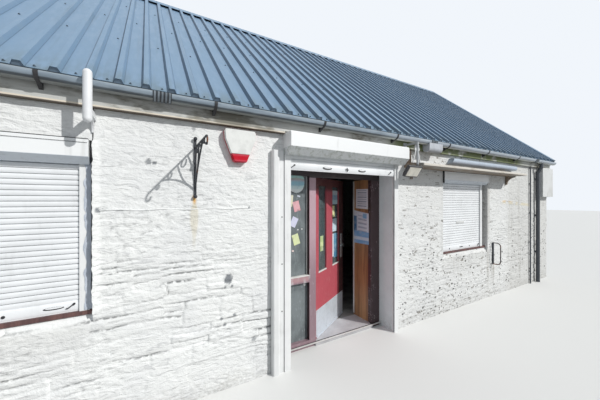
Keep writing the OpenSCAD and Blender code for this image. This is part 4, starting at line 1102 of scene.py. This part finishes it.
def sidelight_papers():
    """An oval label and torn scraps on the side light."""
    bm = bmesh.new()
    y = -2.5515
    # The label's dark green top band is partly its print and partly painted shade.
    aqua = banded((0.20, (0.88, 0.96, 0.96)), (0.34, (0.70, 0.90, 0.92)), (0.52, (0.36, 0.64, 0.76)),
                  (0.60, (0.48, 0.54, 0.62)), (0.70, (0.50, 0.46, 0.44)), (0.82, (0.52, 0.84, 0.80)),
                  (1.0, (0.26, 0.42, 0.38)))
    round_label(bm, -0.432, 1.962, 0.225, 0.255, y - 0.0025, aqua)
    for x, z, wide, high, tilt, colour in (
            (-0.500, 1.738, 0.050, 0.138, 0.10, (0.72, 0.70, 0.52)),
            (-0.425, 1.676, 0.085, 0.120, -0.25, (0.74, 0.36, 0.40)),
            (-0.460, 1.492, 0.080, 0.115, 0.45, (0.62, 0.62, 0.80)),
            (-0.433, 1.286, 0.085, 0.125, -0.28, (0.70, 0.76, 0.42)),
            (-0.407, 1.400, 0.014, 0.014, 0.0, (0.80, 0.80, 0.78)),
            (-0.352, 1.405, 0.014, 0.014, 0.3, (0.80, 0.80, 0.78)),
            (-0.474, 1.154, 0.026, 0.020, 0.2, (0.74, 0.56, 0.52)),
            (-0.395, 1.795, 0.040, 0.018, 0.2, (0.55, 0.58, 0.66)),
            (-0.318, 0.742, 0.030, 0.026, 0.3, (0.74, 0.75, 0.74))):
        turn = Matrix.Translation((x, y, z)) @ Matrix.Rotation(tilt, 4, "Y")
        corners = [turn @ Vector((dx * wide / 2, 0, dz * high / 2))
                   for dx, dz in ((-1, -1), (1, -1), (1, 1), (-1, 1))]
        paper(bm, *corners, one_tint(colour), 0.0006, 3, 4)
    piece(bm, "sidelight_papers", PRINT)


def lining_papers():
    """Two faded notices on the lining, with plain bands for their print."""
    bm = bmesh.new()
    x = 0.7345

    def notice(u, w):
        line = math.sin(w * 56) > 0.35 and 0.10 < w < 0.93 and 0.14 < u < 0.88
        return (0.30, 0.32, 0.44) if line else (0.80, 0.80, 0.87)

    def chart(u, w):
        if w > 0.40:
            if 0.62 < u < 0.88 and 0.82 < w < 0.95:
                return (0.20, 0.45, 0.72)
            if u < 0.22 and w < 0.85:
                return (0.06, 0.18, 0.36)
            line = math.sin(w * 52) > 0.5 and 0.30 < u < 0.88
            return (0.42, 0.46, 0.58) if line else (0.74, 0.78, 0.87)
        return (0.66, 0.76, 0.88) if 0.12 < w < 0.20 else (0.22, 0.45, 0.74)

    paper(bm, (x, -2.281, 1.630), (x, -2.529, 1.620), (x, -2.532, 1.905), (x, -2.286, 1.910),
          notice, 0.0022, 12, 40)
    paper(bm, (x, -2.245, 1.118), (x, -2.548, 1.124), (x, -2.546, 1.560), (x, -2.237, 1.600),
          chart, 0.0022, 12, 40)
    piece(bm, "lining_papers", PRINT)


def leaf_papers():
    """Notices behind the leaf's two panes."""
    bm = bmesh.new()
    y = 0.0180
    green = banded((0.3, (0.36, 0.46, 0.20)), (0.6, (0.62, 0.72, 0.34)), (1.0, (0.46, 0.58, 0.26)))
    grey_blue = banded((0.3, (0.42, 0.62, 0.66)), (0.7, (0.20, 0.36, 0.48)), (1.0, (0.46, 0.56, 0.60)))
    deep_blue = banded((0.45, (0.06, 0.22, 0.36)), (1.0, (0.10, 0.30, 0.44)))
    for u0, u1, z0, z1, tint in (
            (0.172, 0.262, 1.040, 1.236, green), (0.535, 0.745, 1.640, 1.835, grey_blue),
            (0.530, 0.640, 1.455, 1.620, one_tint((0.76, 0.78, 0.36))),
            (0.530, 0.720, 1.255, 1.435, one_tint((0.56, 0.72, 0.80))),
            (0.530, 0.610, 0.900, 1.225, one_tint((0.70, 0.78, 0.84))),
            (0.612, 0.745, 0.880, 1.225, deep_blue)):
        paper(bm, (u0, y, z0), (u1, y, z0), (u1, y, z1), (u0, y, z1), tint, 0.0008, 6, 14)
    leaf_piece(bm, "leaf_papers", PRINT)


def glazing_beads():
    bm = bmesh.new()
    block(bm, (-0.617, -2.603, 0.846), (-0.276, -2.552, 0.858), 0.003)
    block(bm, (-0.291, -2.562, 0.860), (-0.284, -2.5505, 2.034), 0.002)
    piece(bm, "sidelight_beads", BEAD)
    bm = bmesh.new()
    for u in (0.092, 0.525):
        block(bm, (u - 0.004, -0.004, 0.786), (u + 0.234, 0.016, 0.802), 0.003)
    leaf_piece(bm, "leaf_beads", BEAD)


def leaf_trim():
    """Weather bar over the foot of the leaf, and the kick plate's screws."""
    bm = bmesh.new()
    block(bm, (0.028, -0.010, -0.003), (0.898, 0.001, 0.017), 0.003)
    leaf_piece(bm, "leaf_weather_bar", PLATE)
    bm = bmesh.new()
    screws(bm, [(u, -0.0018, z) for u in (0.036, 0.32, 0.60, 0.885) for z in (0.034, 0.322)], 0.0045)
    leaf_piece(bm, "kick_plate_screws", HINGE)


def step_nosing():
    """Pale metal strip along the step's edge, and a dark seam behind it."""
    bm = bmesh.new()
    x0, x1 = DOOR_X0 + 0.004, DOOR_X1 - 0.004
    block(bm, (x0, -2.640, FLOOR_Z - 0.001), (x1, -2.615, FLOOR_Z + 0.004), 0.0015)
    piece(bm, "step_nosing", BEAD)
    bm = bmesh.new()
    block(bm, (x0, -2.614, FLOOR_Z - 0.001), (x1, -2.597, FLOOR_Z + 0.0015))
    piece(bm, "step_seam", DARK)


def lining_end():
    """Cream bead that closes the lining's inner end."""
    bm = bmesh.new()
    block(bm, (0.7325, -2.2460, FLOOR_Z + 0.02), (0.766, -2.2170, 2.030), 0.002)
    piece(bm, "lining_end_bead", BEAD)


shutter_locks()
casing_screws()
sidelight_papers()
lining_papers()
leaf_papers()
glazing_beads()
leaf_trim()
step_nosing()
lining_end()


# Eaves and wall fittings

def on_wall(run, proud):
    """Points of a run along the front wall, proud of the masonry's own face."""
    depths = [rough_face(x, z, face_seed(1, -1), *front_character(x, z))[0] for x, z in run]
    return [(x, FACE_Y + depth - proud, z) for (x, z), depth in zip(run, depths)]


def fixed_cable(bm, points, radius):
    """Cable fixed along the wall, from point to point."""
    for a, b in zip(points, points[1:]):
        rod(bm, a, b, radius, 8)


def wall_cables():
    """A painted cable that sags along the wall, and a thin one down beside the left window."""
    bm = bmesh.new()
    run = [(-2.262 + 0.05 * i, 1.672 + 0.004 * math.sin(i * 0.9)) for i in range(24)]
    fixed_cable(bm, on_wall(run, 0.002), 0.0042)
    piece(bm, "painted_cable", WHITEWASH, seal=False)
    bm = bmesh.new()
    drop = [(-2.298, 2.424), (-2.299, 2.36), (-2.296, 2.30), (-2.299, 2.245), (-2.301, 2.20), (-2.306, 2.170)]
    inward = [(-2.309, FACE_Y - 0.002, 2.15)]
    down = [(-2.311 + 0.0025 * math.sin(3 * i), FACE_Y + 0.024, 2.12 - 0.10 * i) for i in range(12)]
    fixed_cable(bm, on_wall(drop, 0.003) + inward + down, 0.0032)
    piece(bm, "window_cable", DARK, seal=False)


def window_packing():
    """Rough mortar between the left window's rail and the masonry, blue-grey as painted shadow of the
    masonry's edge.
    """
    bm = bmesh.new()
    made = bmesh.ops.create_grid(bm, x_segments=3, y_segments=90, size=1)["verts"]
    for v in made:
        u, w = (v.co.x + 1) / 2, (v.co.y + 1) / 2
        z = 0.936 + w * 1.072
        left = -2.352 - 0.016 * noise.noise((z * 9, 4, 2)) - 0.011 * noise.noise((z * 27, 1, 2))
        v.co = (left + u * (-2.3045 - left), -2.788 + 0.004 * noise.noise((u * 3, z * 24, 5)), z)
    bmesh.ops.solidify(bm, geom=bm.faces[:], thickness=-0.018)
    piece(bm, "window_packing", SHADOW_GREY_MORTAR)


def eaves_lip():
    """Lower strip of the eaves board, from the left end to the door."""
    bm = bmesh.new()
    block(bm, (-HALF_L + 0.001, FACE_Y - 0.0499, 2.424), (DOOR_X0 - 0.071, FACE_Y - 0.0003, 2.4502))
    piece(bm, "eaves_lip", BOARD)


def hoop_strap():
    """Strap that holds the wall hoop's two ends."""
    bm = bmesh.new()
    block(bm, (3.500, FACE_Y - 0.008, 0.585), (3.546, FACE_Y + 0.012, 0.975), 0.003)
    screws(bm, [(3.525, FACE_Y - 0.008, z) for z in (0.68, 0.78, 0.88)], 0.011)
    piece(bm, "hoop_strap", BRACKET_IRON)


def box_joints_and_shadow():
    """Dark joints between the shutter boxes and the masonry round them, and a dark line of painted shadow
    under the left box's top flange.
    """
    bm = bmesh.new()
    low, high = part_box("window_shutter_boxes")
    front, inner, top = low[1] + 0.004, FACE_Y + 0.02, high[2]
    block(bm, (RIGHT_X0 - 0.007, front, BOX_FOOT), (RIGHT_X0 - 0.0005, inner, top + 0.006))
    block(bm, (RIGHT_X0 - 0.007, front, top + 0.0005), (high[0], inner, top + 0.007))
    left_end = LEFT_X0 + BOX_W
    block(bm, (LEFT_X0, front, top + 0.0005), (left_end, inner, top + 0.0055))
    # Painted shadow: a dark line across the left box's front, under its top flange.
    block(bm, (LEFT_X0, low[1] - 0.0006, top - 0.026), (left_end - 0.006, low[1] + 0.002, top - 0.0235))
    piece(bm, "box_joints_and_shadow", DARK)


def eaves_fittings():
    """Old fixing boards by the lamp, and the stay that ties the ledge to the eaves."""
    bm = bmesh.new()
    for x0, x1, z0, z1, out in ((1.030, 1.086, 2.290, 2.449, 0.030), (1.090, 1.150, 2.272, 2.449, 0.040),
                                (1.156, 1.232, 2.268, 2.449, 0.026)):
        block(bm, (x0, FACE_Y - out, z0), (x1, FACE_Y + 0.02, z1), 0.003)
    piece(bm, "fixing_boards", OLD_TIMBER)
    bm = bmesh.new()
    y = FACE_Y - 0.052
    for x0, z0, x1, z1 in ((1.225, 2.262, 1.290, 2.452), (1.385, 2.262, 1.330, 2.452)):
        rod(bm, (x0, y, z0), (x1, y, z1), 0.009, 12)
    block(bm, (1.262, FACE_Y - 0.060, 2.436), (1.362, FACE_Y - 0.0485, 2.520), 0.003)
    block(bm, (1.205, FACE_Y - 0.068, 2.256), (1.405, FACE_Y - 0.036, 2.268), 0.003)
    piece(bm, "ledge_stay", POST)


wall_cables()
window_packing()
eaves_lip()
hoop_strap()
box_joints_and_shadow()
eaves_fittings()


# Floor

def studio_ground():
    bm = bmesh.new()
    bmesh.ops.create_grid(bm, x_segments=1, y_segments=1, size=60)
    mesh = bpy.data.meshes.new("studio_floor")
    bm.to_mesh(mesh)
    bm.free()
    mesh.materials.append(floor_finish())
    ground = bpy.data.objects.new("studio_floor", mesh)
    bpy.context.collection.objects.link(ground)


studio_ground()
